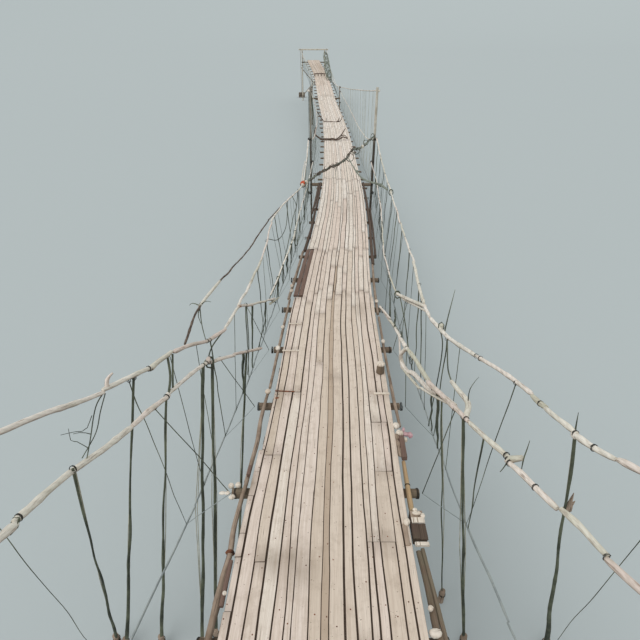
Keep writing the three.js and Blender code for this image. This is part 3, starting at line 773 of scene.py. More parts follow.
bands = {  # extra windings, as (station, width as a share of the rope's radius)
    ("left", "upper"): [(5.66, 0.91), (7.6, 0.91)],
    ("left", "lower"): [(2.7, 0.86), (5.62, 0.91), (7.28, 0.91)],
    ("right", "upper"): [(3.66, 0.91), (4.66, 0.86), (6.4, 0.91)],
    ("right", "lower"): [(3.36, 0.86), (3.88, 0.91), (3.96, 0.91), (4.88, 0.91), (6.3, 0.86)],
}
thinRopes = ("outer", "inner", "loop", "storm")


def atStation(curve, station):
    wanted = (station - middleStation) * modelScale
    return np.array([np.interp(wanted, curve[:, 1], curve[:, i]) for i in range(3)])


unevenness = {
    "bow": 0.006, "swayPace": 0.9, "taper": 0.18, "drawnIn": 0.22, "drawnOver": 0.03, "lay": 0.04,
    "bark": 0.14, "barkPace": 2.5, "knot": 0.22, "knotReach": 0.07, "brownReach": 0.12,
}


# One rope is made of lengths laid end to end, nearly straight between their joints. Each has its own
# girth, tone and twist, and its ends sit a little out of line with the next.
def addRope(shape, curve, radius, joints, look, brown=(), wound=()):
    path, along = evenly(curve, look["step"] * modelScale)
    stations = path[:, 1] / modelScale + middleStation
    breaks = sorted({0, len(path) - 1} | {int(np.argmin(np.abs(stations - joint))) for joint in joints})
    breaks = [b for i, b in enumerate(breaks) if i in (0, len(breaks) - 1) or b - breaks[i - 1] > 2]
    slips = [np.array([random.uniform(-1, 1), 0, random.uniform(-1, 1)]) for _ in breaks[2:]]
    slips = [np.zeros(3)] + slips + [np.zeros(3)]
    for number, (low, high) in enumerate(zip(breaks, breaks[1:])):
        seed = random.uniform(0, 60)
        share = np.linspace(0, 1, high - low + 1)[:, None]
        part = path[low:high + 1]
        chord = part[0] + (part[-1] - part[0]) * share
        bow = np.clip((chord - part) * look["straight"], -unevenness["bow"], unevenness["bow"])
        slip = slips[number] * (1 - share) - slips[number + 1] * share
        length = along[low:high + 1] - along[low]
        sway = np.array([[wobble(v, seed), 0, wobble(v, seed + 9)] for v in length * unevenness["swayPace"]])
        part = part + bow + slip * look["slip"] * radius * modelScale
        part = part + sway * look["sway"] * modelScale * np.sin(math.pi * share)
        for place, width in wound:
            if stations[low] < place < stations[high]:
                i = int(np.argmin(np.abs(stations[low:high + 1] - place)))
                i = min(max(i, 1), high - low - 1)
                lashings.append((part[i], part[i + 1] - part[i - 1], radius * width))
        count = int(length[-1] * look["knots"] + random.random())
        knots = [random.uniform(0, length[-1]) for _ in range(count)]
        girth = random.uniform(*look["girth"])
        taper = random.uniform(-unevenness["taper"], unevenness["taper"])
        twist = random.choice((-1, 1)) * 2 * math.pi / look["lay"]

        def radiusAt(i, angles):
            end = min(length[i], length[-1] - length[i])
            far = np.interp(part[i, 1] / modelScale + middleStation, *look["thinning"])
            drawnIn = 1 - unevenness["drawnIn"] * math.exp(-end / unevenness["drawnOver"])
            lay = unevenness["lay"] * np.cos(3 * angles - length[i] * twist)
            bark = unevenness["bark"] * skin(angles, length[i] * unevenness["barkPace"], seed)
            swell = unevenness["knot"] * min(swelling(length[i], knots, unevenness["knotReach"]), 1)
            uneven = 1 + swell + taper * (share[i, 0] - 0.5) + lay + bark
            return radius * modelScale * girth * far * drawnIn * uneven

        rings = ringsAlong(part, look["sides"], radiusAt)
        wear = np.array([[min(swelling(s, brown, unevenness["brownReach"]), 1)]
                         for s in stations[low:high + 1]])
        addTube(shape, rings, roundUvs(radius, look["sides"], seed), length + seed, random.random(), wear, 0,
                undersideShadeShare(rings))
        if number and random.random() < look["lashed"]:
            far = np.interp(stations[low], *look["thinning"])
            lashings.append((path[low], path[low + 1] - path[low - 1], radius * look["girth"][1] * far))


nearLook = {
    "sides": 12, "step": 0.07, "girth": (0.68, 0.86), "slip": 0.45, "sway": 0.04, "knots": 1.3, "lay": 0.42,
    "straight": 0.5, "lashed": 0.3, "thinning": ((0, 9, 13, 29, 31), (1, 1, 0.85, 0.85, 1.1)),
}
farLook = {
    "sides": 8, "step": 0.3, "girth": (0.85, 1.05), "slip": 0.2, "sway": 0.04, "knots": 0.2, "lay": 1.2,
    "straight": 0.3, "lashed": 0.15, "thinning": ((31, 110), (0.75, 0.75)),
}
rightLower = {"thinning": ((0, 4.8, 6, 7.6, 9), (0.95, 1, 1.25, 1.2, 0.8))}
stormLook = {"thinning": ((0, 110), (0.7, 0.7)), "lashed": 0}
thinLashings = []
ropeCurves = {}
random.seed(31)
for (side, span), ropes in routes.items():
    node = f"{side}_ropes_{span}_span"
    pale, dark, storms = newShape(), newShape(), newShape()
    near = span == "near"
    for name, route in ropes.items():
        curve = smoothCurve(deckPoints(route, signs[side]), 24)
        ropeCurves[side, span, name] = curve
        start, end = route[0][0], route[-1][0]
        joints = [start + (end - start) * (i + random.uniform(-0.25, 0.25)) / 9 for i in range(1, 9)]
        wound, brown = (), ()
        if near:
            joints, wound = nearJoints.get((side, name), joints), bands.get((side, name), ())
            brown = (9.6,) if (side, name) == ("left", "upper") else ()
        look = {**(nearLook if near else farLook), **(stormLook if name == "storm" else {}),
                **(rightLower if near and (side, name) == ("right", "lower") else {})}
        addRope({"storm": storms, "outer": dark}.get(name, pale), curve,
                thinRadius if name in thinRopes else ropeRadius, joints, look, brown, wound)
        if name == "outer":
            beside = [atStation(curve, station) for station in (8.6, 9.2, 9.8, 10.4)]
            addLimb(pale, beside, [0.03, 0.038, 0.03], 10, 0.08, 0.14)
    makePiece(pale, f"{side}_{span}_ropes", ropeFibre, "rope", node)
    makePiece(storms, f"{side}_{span}_storm_rope", greyTwine, "rope", node)
    if dark["count"]:
        makePiece(dark, f"{side}_{span}_cords", creeper, "rope", node)
print("ropes laid", len(lashings))


# Geometry Nodes. Each tree has named inputs and ends in real geometry with its material set.
def newTree(name, settings):
    tree = bpy.data.node_groups.new(name, "GeometryNodeTree")
    face = tree.interface
    face.new_socket("Geometry", in_out="INPUT", socket_type="NodeSocketGeometry")
    for label, value in settings.items():
        kind = "NodeSocketInt" if isinstance(value, int) else "NodeSocketFloat"
        face.new_socket(label, in_out="INPUT", socket_type=kind).default_value = value
    face.new_socket("Material", in_out="INPUT", socket_type="NodeSocketMaterial")
    face.new_socket("Geometry", in_out="OUTPUT", socket_type="NodeSocketGeometry")
    return tree, addNode(tree, "NodeGroupInput").outputs


def finishTree(tree, given, geometry):
    real = addNode(tree, "GeometryNodeRealizeInstances", inputs={"Geometry": geometry})
    smooth = addNode(tree, "GeometryNodeSetShadeSmooth", inputs={"Geometry": real})
    dressed = addNode(tree, "GeometryNodeSetMaterial", inputs={
        "Geometry": smooth, "Material": given["Material"],
    })
    addNode(tree, "NodeGroupOutput", inputs={"Geometry": dressed})
    return tree


def swept(tree, curve, sides, radius):
    ring = addNode(tree, "GeometryNodeCurvePrimitiveCircle", inputs={"Resolution": sides, "Radius": radius})
    return addNode(tree, "GeometryNodeCurveToMesh", inputs={
        "Curve": curve, "Profile Curve": ring, "Fill Caps": True,
    })


# A random shift from a cloud of noise, between minus and plus half of its amount on each axis
def drift(tree, noiseInputs, amount):
    cloud = addNode(tree, "ShaderNodeTexNoise", {"noise_dimensions": "4D" if "W" in noiseInputs else "3D"}, {
        "Vector": addNode(tree, "GeometryNodeInputPosition"), **noiseInputs,
    }).outputs["Color"]
    centred = addNode(tree, "ShaderNodeVectorMath", {"operation": "SUBTRACT"}, {0: cloud, 1: (0.5, 0.5, 0.5)})
    return addNode(tree, "ShaderNodeVectorMath", {"operation": "SCALE"}, {0: centred, "Scale": amount})


# Thin cords along bare edges, which wander a little off the straight line
def cordTree():
    tree, given = newTree("thin_cords", {
        "Radius": 0.002, "Spacing": 0.03, "Wander": 0.002, "Sides": 5, "Seed": 1,
    })
    lines = addNode(tree, "GeometryNodeMeshToCurve", inputs={"Mesh": given["Geometry"]})
    evened = addNode(tree, "GeometryNodeResampleCurve", {"mode": "LENGTH"}, {
        "Curve": lines, "Length": given["Spacing"],
    })
    share = addNode(tree, "GeometryNodeSplineParameter")
    inside = addNode(tree, "ShaderNodeMath", {"operation": "PINGPONG"}, {0: share, 1: 0.5})
    amount = addNode(tree, "ShaderNodeMath", {"operation": "MULTIPLY"}, {0: inside, 1: given["Wander"]})
    move = drift(tree, {"W": given["Seed"], "Scale": 5, "Detail": 2}, amount)
    bent = addNode(tree, "GeometryNodeSetPosition", inputs={"Geometry": evened, "Offset": move})
    return finishTree(tree, given, swept(tree, bent, given["Sides"], given["Radius"]))


# A few turns of cord wound round each point's axis, as wide as the pole or rope there
def windingTree():
    tree, given = newTree("windings", {"Turns": 3.0, "Cord": 0.08, "Pitch": 0.2, "Steps": 10, "Sides": 4})
    height = addNode(tree, "ShaderNodeMath", {"operation": "MULTIPLY"}, {
        0: given["Turns"], 1: given["Pitch"],
    })
    coil = addNode(tree, "GeometryNodeCurveSpiral", inputs={
        "Resolution": given["Steps"], "Rotations": given["Turns"], "Start Radius": 1.06, "End Radius": 1.06,
        "Height": height,
    })
    half = addNode(tree, "ShaderNodeMath", {"operation": "MULTIPLY"}, {0: height, 1: -0.5})
    down = addNode(tree, "ShaderNodeCombineXYZ", inputs={"Z": half})
    centred = addNode(tree, "GeometryNodeSetPosition", inputs={"Geometry": coil, "Offset": down})
    axis = addNode(tree, "GeometryNodeInputNamedAttribute", {"data_type": "FLOAT_VECTOR"}, {"Name": "axis"})
    size = addNode(tree, "GeometryNodeInputNamedAttribute", {"data_type": "FLOAT"}, {"Name": "size"})
    laid = addNode(tree, "GeometryNodeInstanceOnPoints", inputs={
        "Points": given["Geometry"], "Instance": swept(tree, centred, given["Sides"], given["Cord"]),
        "Rotation": addNode(tree, "FunctionNodeAlignRotationToVector", {"axis": "Z"}, {"Vector": axis}),
        "Scale": size,
    })
    return finishTree(tree, given, laid)


# Low domed heads of hand-forged nails
def nailTree():
    tree, given = newTree("nail_heads", {"Radius": 0.001, "Height": 0.0004, "Sides": 6})
    head = addNode(tree, "GeometryNodeMeshCone", inputs={
        "Vertices": given["Sides"], "Radius Bottom": given["Radius"], "Radius Top": 0.0005,
        "Depth": given["Height"],
    })
    laid = addNode(tree, "GeometryNodeInstanceOnPoints", inputs={
        "Points": given["Geometry"], "Instance": head,
    })
    return finishTree(tree, given, laid)


# Round stones of mixed size, each turned its own way and dented
def stoneTree():
    tree, given = newTree("river_stones", {"Size": 0.01, "Seed": 1})
    pebble = addNode(tree, "GeometryNodeMeshIcoSphere", inputs={"Radius": given["Size"], "Subdivisions": 2})
    turn, girth = (addNode(tree, "FunctionNodeRandomValue", {"data_type": "FLOAT_VECTOR"}, {
        0: low, 1: high, "Seed": given["Seed"],
    }) for low, high in (((0, 0, 0), (6.28, 6.28, 6.28)), ((0.55, 0.5, 0.4), (1.0, 0.95, 0.75))))
    laid = addNode(tree, "GeometryNodeInstanceOnPoints", inputs={
        "Points": given["Geometry"], "Instance": pebble, "Rotation": turn, "Scale": girth,
    })
    real = addNode(tree, "GeometryNodeRealizeInstances", inputs={"Geometry": laid})
    move = drift(tree, {"Scale": 60, "Detail": 1}, 0.008)
    dented = addNode(tree, "GeometryNodeSetPosition", inputs={"Geometry": real, "Offset": move})
    return finishTree(tree, given, dented)


def grown(name, source, tree, values, material, slot, *nodes):
    holder = addObject(name + "_source", source)
    modifier = holder.modifiers.new("build", "NODES")
    modifier.node_group = tree
    values = {**values, "Material": material}
    for socket in tree.interface.items_tree:
        if socket.in_out == "INPUT" and socket.name in values:
            modifier[socket.identifier] = values[socket.name]
    graph = bpy.context.evaluated_depsgraph_get()
    mesh = bpy.data.meshes.new_from_object(holder.evaluated_get(graph), depsgraph=graph)
    holder.modifiers.clear()
    bpy.data.objects.remove(holder)
    mesh.name = name
    return settle(addObject(name, mesh), slot, *nodes)


# A bare mesh of points and edges for a tree to grow on
def edgesMesh(lines):
    points, edges = [], []
    for line in lines:
        edges += [(len(points) + i, len(points) + i + 1) for i in range(len(line) - 1)]
        points += [tuple(p) for p in line]
    mesh = bpy.data.meshes.new("lines")
    mesh.from_pydata(points, edges, [])
    return mesh


def windingPoints(entries):
    centres, axes, radii = zip(*entries)
    mesh = edgesMesh([[centre] for centre in centres])
    axis = mesh.attributes.new("axis", "FLOAT_VECTOR", "POINT")
    axis.data.foreach_set("vector", np.array(axes, dtype=np.float32).ravel())
    size = mesh.attributes.new("size", "FLOAT", "POINT")
    size.data.foreach_set("value", np.array([radius * modelScale for radius in radii], dtype=np.float32))
    return mesh


cords, windings, nails, stones = cordTree(), windingTree(), nailTree(), stoneTree()
grown("deck_nails", edgesMesh([[place] for place in nailPlaces]), nails, {
    "Radius": deck["nail"] * modelScale,
}, rust, "deck_boards")

# Hangers: at each cross-beam a plumb stem and a slanting one, with thinner cords between
hangers = {
    "beamEnd": 1.7 + 1.5 * strandRadius + 0.003, "beamHeight": -0.273, "spacing": 0.03, "seed": 41,
    "bareBefore": 6,
    "near": {"thick": 0.0008, "thin": 0.0007, "between": 2, "wander": 0.02},
    "middle": {"thick": 0.0011, "thin": 0.0006, "between": 2, "wander": 0.03},
    "far": {"thick": 0.0015, "thin": 0.0008, "between": 3, "wander": 0.03},
}
strandRules = {  # rope, from, to, plumb
    ("left", "near"): [("upper", 0, 12, True), ("lower", 5, 8, False), ("upper", 8, 12, False),
                       ("hand", 12, 31, True), ("inner", 12.5, 31, False)],
    ("right", "near"): [("upper", 0, 31, True), ("lower", 5, 10, False), ("inner", 10, 31, False)],
    "middle": [("upper", 32, 76, True), ("hand", 32, 76, False)],
    "far": [("upper", 77, 108, True), ("hand", 77, 108, False)],
}
stemGirths = ((0, 4, 6, 9, 16, 31), (0.005, 0.005, 0.01, 0.016, 0.016, 0.02))
fullStems = {  # upper rope, then the station there, the station on the storm rope and the thickness
    "left": [
        ("upper", (10.88, 10.77, 0.028)), ("lower", (8.69, 9.5, 0.036)),
        ("upper", (11.87, 13.02, 0.02), (12.21, 15.36, 0.026)),
        ("inner", (13.04, 15.87, 0.045), (13.49, 17.18, 0.035), (13.98, 18.31, 0.04), (14.78, 19.55, 0.03),
         (16.25, 20.95, 0.035), (19, 23.5, 0.03), (22, 26, 0.035), (26, 29.5, 0.035)),
    ],
    "right": [
        ("lower", (7.47, 11.02, 0.02), (7.32, 10.65, 0.018)), ("upper", (9.9, 9.22, 0.016)),
        ("lower", (6.21, 7.95, 0.022), (5.94, 7.35, 0.034), (4.44, 5.15, 0.014), (8.46, 13.08, 0.032),
         (9.51, 14.91, 0.034), (10.41, 16.9, 0.03)),
        ("inner", (12.37, 16.9, 0.026), (13.96, 19.91, 0.034), (18, 22.5, 0.03), (21.46, 24.21, 0.034),
         (26.6, 28.18, 0.034)),
    ],
}


stemBends = {"count": 7, "reach": 0.0015}


# A crooked stem whose girth runs down to the share tip at its foot
def addStem(shape, top, foot, girth, tip=0.55):
    places = [top]
    for i in range(1, stemBends["count"] + 1):
        bend = np.array([random.uniform(-1, 1), random.uniform(-1, 1), 0]) * stemBends["reach"]
        places.append(top + (foot - top) * i / (stemBends["count"] + 1) + bend)
    places.append(foot)
    addLimb(shape, places, [girth, girth * 0.85, girth * (0.45 + 0.5 * tip), girth * tip], 7, 0.14, 0.3, 1)


def hangerLines(side, span):
    storm = ropeCurves[side, span, "storm"]
    stems, thick, thin, low = newShape(), [], [], []
    bareShare = 0.9 if (side, span) == ("right", "middle") else 0.3
    for rope, start, end, plumb in strandRules.get((side, span)) or strandRules[span]:
        curve = ropeCurves[side, span, rope]
        steps = hangers[span]["between"] + 1 if plumb else 1
        for station in beamStations(start, end):
            for step in range(steps):
                place = station + step * beams["spacing"] / steps + (random.uniform(-0.5, 0.5) if step else 0)
                bare = place < hangers["bareBefore"] or random.random() < bareShare
                if place > end or (step and bare):
                    continue
                top = atStation(curve, place)
                foot = atStation(storm, place + (random.uniform(-0.6, 0.6) if step else 0))
                if not plumb:
                    past = deckPoint(place, signs[side] * hangers["beamEnd"], hangers["beamHeight"])
                    (thick if span == "near" else thin).append([top, past])
                    low.append([past, foot])
                elif span == "near" and step == 0:
                    addStem(stems, top, foot, np.interp(place, *stemGirths))
                else:
                    (thin if step else thick).append([top, foot])
                if step == 0:
                    thinLashings.append((top, atStation(curve, place + 0.1) - top, ropeRadius * 0.86))
    return stems, thick, thin, low


random.seed(hangers["seed"])
for side, span in routes:
    node = f"{side}_ropes_{span}_span"
    stems, thick, thin, low = hangerLines(side, span)
    for rope, *rows in fullStems[side] if span == "near" else ():
        for topStation, stormStation, girth in rows:
            top = atStation(ropeCurves[side, span, rope], topStation)
            addStem(stems, top, atStation(ropeCurves[side, span, "storm"], stormStation), girth)
    if stems["count"]:
        makePiece(stems, f"{side}_{span}_stems", hangerCord, "rope", node)
    cord = paleCord if (side, span) == ("right", "middle") else hangerCord
    for name, weight, lines, material in (("thick", "thick", thick, cord), ("thin", "thin", thin, cord),
                                          ("low", "thin", low, greyTwine)):
        grown(f"{side}_{span}_{name}_hangers", edgesMesh(lines), cords, {
            "Radius": hangers[span][weight], "Spacing": hangers["spacing"], "Wander": hangers[span]["wander"],
            "Seed": 3,
        }, material, "rope", node)

# Ground stays: a dark crooked stem and thinner twins from a rope to the eye of a stake
stake = {"radius": 0.07, "height": 0.45, "eye": 0.3, "twin": 0.0008}
groundStays = {  # rope, station, the stake's station and distance, radius, growth to the foot, twins
    "left": [("lower", 3.5, 4.67, 4.44, 0.017, 1.8, (0.004,)), ("upper", 5.35, 4.6, 4.2, 0.02, 2, (0.003,)),
             ("lower", 5.62, 4.65, 3.45, 0.02, 2, (-0.003,)),
             ("lower", 7.1, 4.6, 2.55, 0.034, 1.2, (0.012, 0.016)),
             ("lower", 7.45, 4.75, 2.28, 0.03, 1.2, (0.006, -0.005)),
             ("lower", 8.85, 6.6, 2.07, 0.026, 1.2, (0.005,))],
    "right": [("upper", 3.92, 4.6, 4.9, 0.022, 2.3, (0.002,)),
              ("lower", 5, 4.67, 3.13, 0.024, 1.4, (0.005, -0.006)),
              ("lower", 5.75, 5.6, 2.88, 0.015, 1, (0.005,))],
}
for side, stays in groundStays.items():
    node = f"{side}_ropes_near_span"
    stakes, strong, fine = newShape(), newShape(), []
    for rope, topStation, footStation, reach, girth, growth, shifts in stays:
        curve = ropeCurves[side, "near", rope]
        top = atStation(curve, topStation)
        foot, eye, head = (groundPoint(signs[side] * reach, footStation, height)
                           for height in (0, stake["eye"], stake["height"]))
        addLimb(stakes, [foot, head], [stake["radius"], stake["radius"] * 0.85], 12, 0.06)
        addStem(strong, top, eye, girth, growth)
        for shift in shifts:
            middle = (top + eye) / 2 + np.array([signs[side] * shift, 0.002, 0])
            fine.append([top + np.array([0, abs(shift), 0]), middle, eye + np.array([0, 0.004, 0])])
        lashings.append((eye, (0, 0, 1), stake["radius"]))
        lashings.append((top, atStation(curve, topStation + 0.1) - top, ropeRadius * 0.9))
    makePiece(stakes, f"{side}_stakes", sidePoleWood, "pole_timber", node)
    makePiece(strong, f"{side}_stay_stems", hangerCord, "rope", node)
    grown(f"{side}_stay_twins", edgesMesh(fine), cords, {
        "Radius": stake["twin"], "Spacing": 0.02, "Wander": 0.006, "Sides": 5, "Seed": 4,
    }, paleCord, "rope", node)

# A splintered knot where the right stay passes the lower rope
random.seed(43)
stayTop = atStation(ropeCurves["right", "near", "upper"], 3.92)
stayFoot = groundPoint(4.9, 4.6, stake["eye"])
knotPlace = stayTop + (stayFoot - stayTop) * 0.235 + np.array([0.05, 0, 0]) * modelScale
splinters = newShape()
for across, rise in ((-0.07, 0.24), (0.0, 0.3), (-0.04, 0.18), (0.06, 0.14), (-0.05, -0.14), (0.04, -0.18)):
    tip = np.array([across, random.uniform(-0.05, 0.05), rise]) * modelScale
    addLimb(splinters, [knotPlace, knotPlace + tip * 0.5, knotPlace + tip], [0.045, 0.026, 0.005], 6, 0.05,
            0.2, 0)
addLump(splinters, knotPlace, (0.06, 0.055, 0.09), rough=0.35)
makePiece(splinters, "splintered_stay_knot", sidePoleWood, "rope", "right_ropes_near_span")
print("hangers and stays hung")

# Towers and masts. Slim and bleached are for the left and the right one; the first masts carry painted
# shade below their bleached tops.
supports = {
    "near_tower": {"station": -1, "offset": 3.5, "radius": legRadius, "slim": (0.95, 0.95), "wood": poleWood,
                   "cap": (capHeight, 4.3), "ties": ()},
    "first_mast": {"station": firstMast, "offset": mastOffset, "radius": mastRadius, "slim": (0.6, 0.85),
                   "wood": mastWood, "top": 5.7, "ties": ((2.65, 1), (1.2, -1), (-0.9, 1)),
                   "bleachedAndUnshaded": (0.4, 0.95)},
    "second_mast": {"station": secondMast, "offset": mastOffset, "radius": mastRadius, "slim": (0.75, 0.75),
                    "wood": poleWood, "top": 1.35, "ties": ((1.2, 1), (0.6, 1), (-0.9, 1))},
    "far_tower": {"station": 110, "offset": 2.35, "radius": legRadius, "slim": (0.75, 0.75), "wood": mastWood,
                  "cap": (farCapHeight, 3.1), "ties": ()},
}
seat, sillRadius, stormHeight, tieBelowCap = 0.003, 0.11, -0.9, 0.3
mastShadeFade = {"from": 0.62, "pace": 12}
tieRing = {"out": 0.065, "radius": 0.115}
sillHeight = underFrame["top"] - underFrame["depth"] - seat - sillRadius
brace = {"radius": 0.08, "overhang": 0.3, "foot": 0.7, "drop": 1.3}
wideLashings = []


def pole(places, radii, name, wood, slot, node, *look):
    shape = newShape()
    addLimb(shape, places, radii, *look)
    makePiece(shape, name, wood, slot, node)


def acrossDeck(station, left, right, height):
    return deckPoints([(station, -left, height), (station, 0, height), (station, right, height)])


# The first masts carry painted shade, in their crack colour, up to about 2.3 m over the deck, and are
# bleached above it
def mastPaintedShade(bleachedAndUnshaded):
    return lambda share: 1 - min(max((share - mastShadeFade["from"]) * mastShadeFade["pace"], 0), 1) * bleachedAndUnshaded


random.seed(51)
for name, support in supports.items():
    station, offset, radius = support["station"], support["offset"], support["radius"]
    cap = support.get("cap")
    centre = deckCentre(station)
    head = deckTop(station) + (cap[0] - capRadius - seat if cap else support["top"])
    for number, (side, sign) in enumerate(signs.items()):
        x = centre + sign * offset
        girth = radius * support["slim"][number]
        # Painted shade on the lower part of each first mast
        wear = mastPaintedShade(support["bleachedAndUnshaded"][number]) if "bleachedAndUnshaded" in support else None
        pole([groundPoint(x, station, z) for z in (0, head / 2, head)], [girth, girth, girth * 0.9],
             f"{name}_{side}_pole", support["wood"], "pole_timber", f"{name}_{side}_leg",
             14, 0.16, 0.07, 0.5, wear)
        for level in (sillHeight, stormHeight):
            wideLashings.append((deckPoint(station, sign * offset, level), (0, 0, 1), girth * 1.02))
        for level, outward in support["ties"]:
            place = deckPoint(station, sign * (offset + outward * tieRing["out"]), level)
            wideLashings.append((place, (0, 0, 1), tieRing["radius"]))
        if cap:
            wideLashings.append((groundPoint(x, station, head - tieBelowCap), (0, 0, 1), girth))
            face = station + sign * (radius + brace["radius"] + seat)
            reach = sign * (offset + brace["overhang"])
            pole([groundPoint(centre + reach, face, brace["foot"]),
                  groundPoint(centre - reach, face, deckTop(station) - brace["drop"])],
                 [brace["radius"], brace["radius"] * 0.85], f"{name}_{side}_brace_pole", poleWood,
                 "pole_timber", f"{name}_{side}_brace", 12, 0.16, 0.06)
    left, right = (offset - radius * slim * 0.9 for slim in support["slim"])
    pole(acrossDeck(station, left, right, sillHeight), [sillRadius, 0.105], f"{name}_sill_log", frameWood,
         "frame_timber", f"{name}_sill", 12, 0.16, 0.05)
    if cap:
        pole(acrossDeck(station, cap[1], cap[1], cap[0]), [capRadius, capRadius * 0.95], f"{name}_cap_log",
             support["wood"], "pole_timber", f"{name}_cap", 14, 0.16, 0.06)
print("towers and masts stand")

# Anchors: log cribs filled with river stones
crib = {
    "half": 0.7, "height": 1.0, "logRadius": 0.085, "layers": 6, "stones": 90, "stoneSize": 0.17,
    "clear": 0.06, "seed": 61,
}
backstays = {
    "near": {"tower": -1, "saddle": 3.95, "height": capHeight, "station": -8, "offset": 4.3},
    "far": {"tower": 110, "saddle": 2.75, "height": farCapHeight, "station": 117, "offset": 2.4},
}


def addCrib(shape, x, station, reach):
    rise = (crib["height"] - 2 * crib["logRadius"]) / (crib["layers"] - 1)
    for layer in range(crib["layers"]):
        z = crib["logRadius"] + layer * rise
        for place in (-reach, reach):
            half = crib["half"] * random.uniform(0.95, 1)
            ends = [(x + place, station - half), (x + place, station + half)]
            if layer % 2:
                ends = [(x - half, station + place), (x + half, station + place)]
            addLimb(shape, [groundPoint(*end, z) for end in ends], [crib["logRadius"]] * 2, 12, 0.14, 0.03)


random.seed(crib["seed"])
for end, stay in backstays.items():
    for side, sign in signs.items():
        node = f"{end}_{side}_anchor"
        x, station = deckCentre(stay["station"]) + sign * stay["offset"], stay["station"]
        reach, size = crib["half"] - crib["logRadius"], crib["stoneSize"]
        shape = newShape()
        addCrib(shape, x, station, reach)
        makePiece(shape, f"{node}_logs", frameWood, "crib_timber", node)
        inner = reach - crib["logRadius"] - crib["clear"]
        heap = [[groundPoint(
            x + random.uniform(-inner, inner), station + random.uniform(-inner, inner),
            size + (crib["height"] - size - size) * random.random() ** 0.5,
        )] for _ in range(crib["stones"])]
        grown(f"{node}_stones", edgesMesh(heap), stones, {"Size": size * modelScale, "Seed": 5}, stone,
              "crib_timber", node)
        tower = deckPoint(stay["tower"], sign * stay["saddle"], stay["height"])
        steepness = math.atan2(deckTop(stay["tower"]) + stay["height"], abs(station - stay["tower"]))
        foot = groundPoint(x, station, crib["height"] + ropeRadius * math.cos(steepness) + ropeGap)
        away = (foot - tower) / np.linalg.norm(foot - tower)
        start = tower + away * (capRadius + seat) * modelScale
        line = np.array([start + (foot - start) * t for t in np.linspace(0, 1, 60)])
        shape = newShape()
        addRope(shape, line, ropeRadius * 0.95, [], {**nearLook, "sides": 10, "sway": 0.0, "knots": 0.1})
        makePiece(shape, f"{end}_{side}_backstay_rope", ropeFibre, "rope", f"{end}_{side}_backstay")
        wideLashings.append((tower, (1, 0, 0), capRadius))
print("anchors filled")

# Edge timbers that lie on the cross-beams' ends beside the deck
random.seed(71)
limbs([
    ([(-1.4, -1.49, -0.12), (1, -1.5, -0.12), (2.75, -1.49, -0.12), (3.25, -1.48, -0.12)],
     [0.045, 0.05, 0.05]),
    ([(3.2, -1.49, -0.12), (3.63, -1.47, -0.12), (3.98, -1.45, -0.12), (4.39, -1.48, -0.12),
      (4.98, -1.47, -0.12), (5.43, -1.45, -0.12)], [0.05, 0.044, 0.036]),
    ([(5.38, -1.46, -0.12), (5.9, -1.45, -0.12), (6.49, -1.44, -0.12), (7.08, -1.48, -0.12),
      (7.6, -1.48, -0.12), (8.2, -1.46, -0.12)], [0.04, 0.046, 0.032]),
], "left_side_pole_lengths", sidePoleWood, "pole_timber", "left_side_pole")
limbs([
    ([(-1.4, 1.5, -0.12), (1.2, 1.51, -0.12), (2.85, 1.51, -0.12)], [0.055, 0.06, 0.055]),
    ([(2.8, 1.49, -0.12), (3.5, 1.48, -0.12), (4.0, 1.45, -0.12)], [0.05, 0.04]),
    ([(2.7, 1.59, -0.13), (3.4, 1.56, -0.13), (4.05, 1.52, -0.13)], [0.035, 0.03]),
], "right_side_pole_lengths", frameWood, "pole_timber", "right_side_pole")
limbs([([(4.76, 1.46, -0.14), (5.3, 1.46, -0.14), (5.9, 1.46, -0.14)], [0.045, 0.045, 0.038])],
      "yellow_pole_limb", yellowWood, "yellow_pole", "yellow_pole", knots=1.5)
limbs([
    ([(18.05, -1.44, -0.11), (21, -1.42, -0.11), (23.5, -1.45, -0.11), (24.6, -1.47, -0.11)],
     [0.07, 0.07, 0.06]),
    ([(23.9, -1.6, -0.11), (27, -1.57, -0.11), (31.0, -1.55, -0.11)], [0.06, 0.07, 0.06]),
    ([(24.8, -1.43, -0.11), (28, -1.44, -0.11), (31.1, -1.42, -0.11)], [0.065, 0.07, 0.06]),
    ([(16.5, 1.47, -0.11), (19, 1.45, -0.11), (22.4, 1.5, -0.11)], [0.065, 0.07, 0.06]),
    ([(22.3, 1.47, -0.11), (26, 1.46, -0.11), (31.1, 1.47, -0.11)], [0.07, 0.07, 0.06]),
    ([(17.5, 1.6, -0.13), (21, 1.6, -0.13), (25, 1.61, -0.13)], [0.05, 0.05, 0.04]),
], "edge_logs", logWood, "dark_plank", spacing=0.2)
limbs([
    ([(8.3, -1.45, -0.14), (10.4, -1.44, -0.14), (13.3, -1.46, -0.14)], [0.035, 0.042, 0.035]),
    ([(12.2, 1.45, -0.14), (14, 1.44, -0.14), (16.5, 1.45, -0.14)], [0.045, 0.045, 0.04]),
    ([(8.0, 1.47, -0.145), (10, 1.46, -0.145), (12.0, 1.47, -0.145)], [0.035, 0.035]),
    ([(13.3, -1.5, -0.12), (15.6, -1.48, -0.12), (18, -1.5, -0.12)], [0.05, 0.055, 0.05]),
    ([(6.9, 1.5, -0.13), (7.6, 1.47, -0.12), (8.4, 1.45, -0.13)], [0.03, 0.04, 0.035]),
], "edge_rails", sidePoleWood, "pole_timber", spacing=0.15)

planks([
    (13.3, 17.9, -1.335, -1.19, 0.02, -0.05, 0.01, 0.3, 0.005),
    (13.32, 17.85, -1.17, -1.028, 0.016, -0.05, 0.01, 0.3, 0.005),
], "left_edge_planks", redWood, "dark_plank", "left_edge_plank")

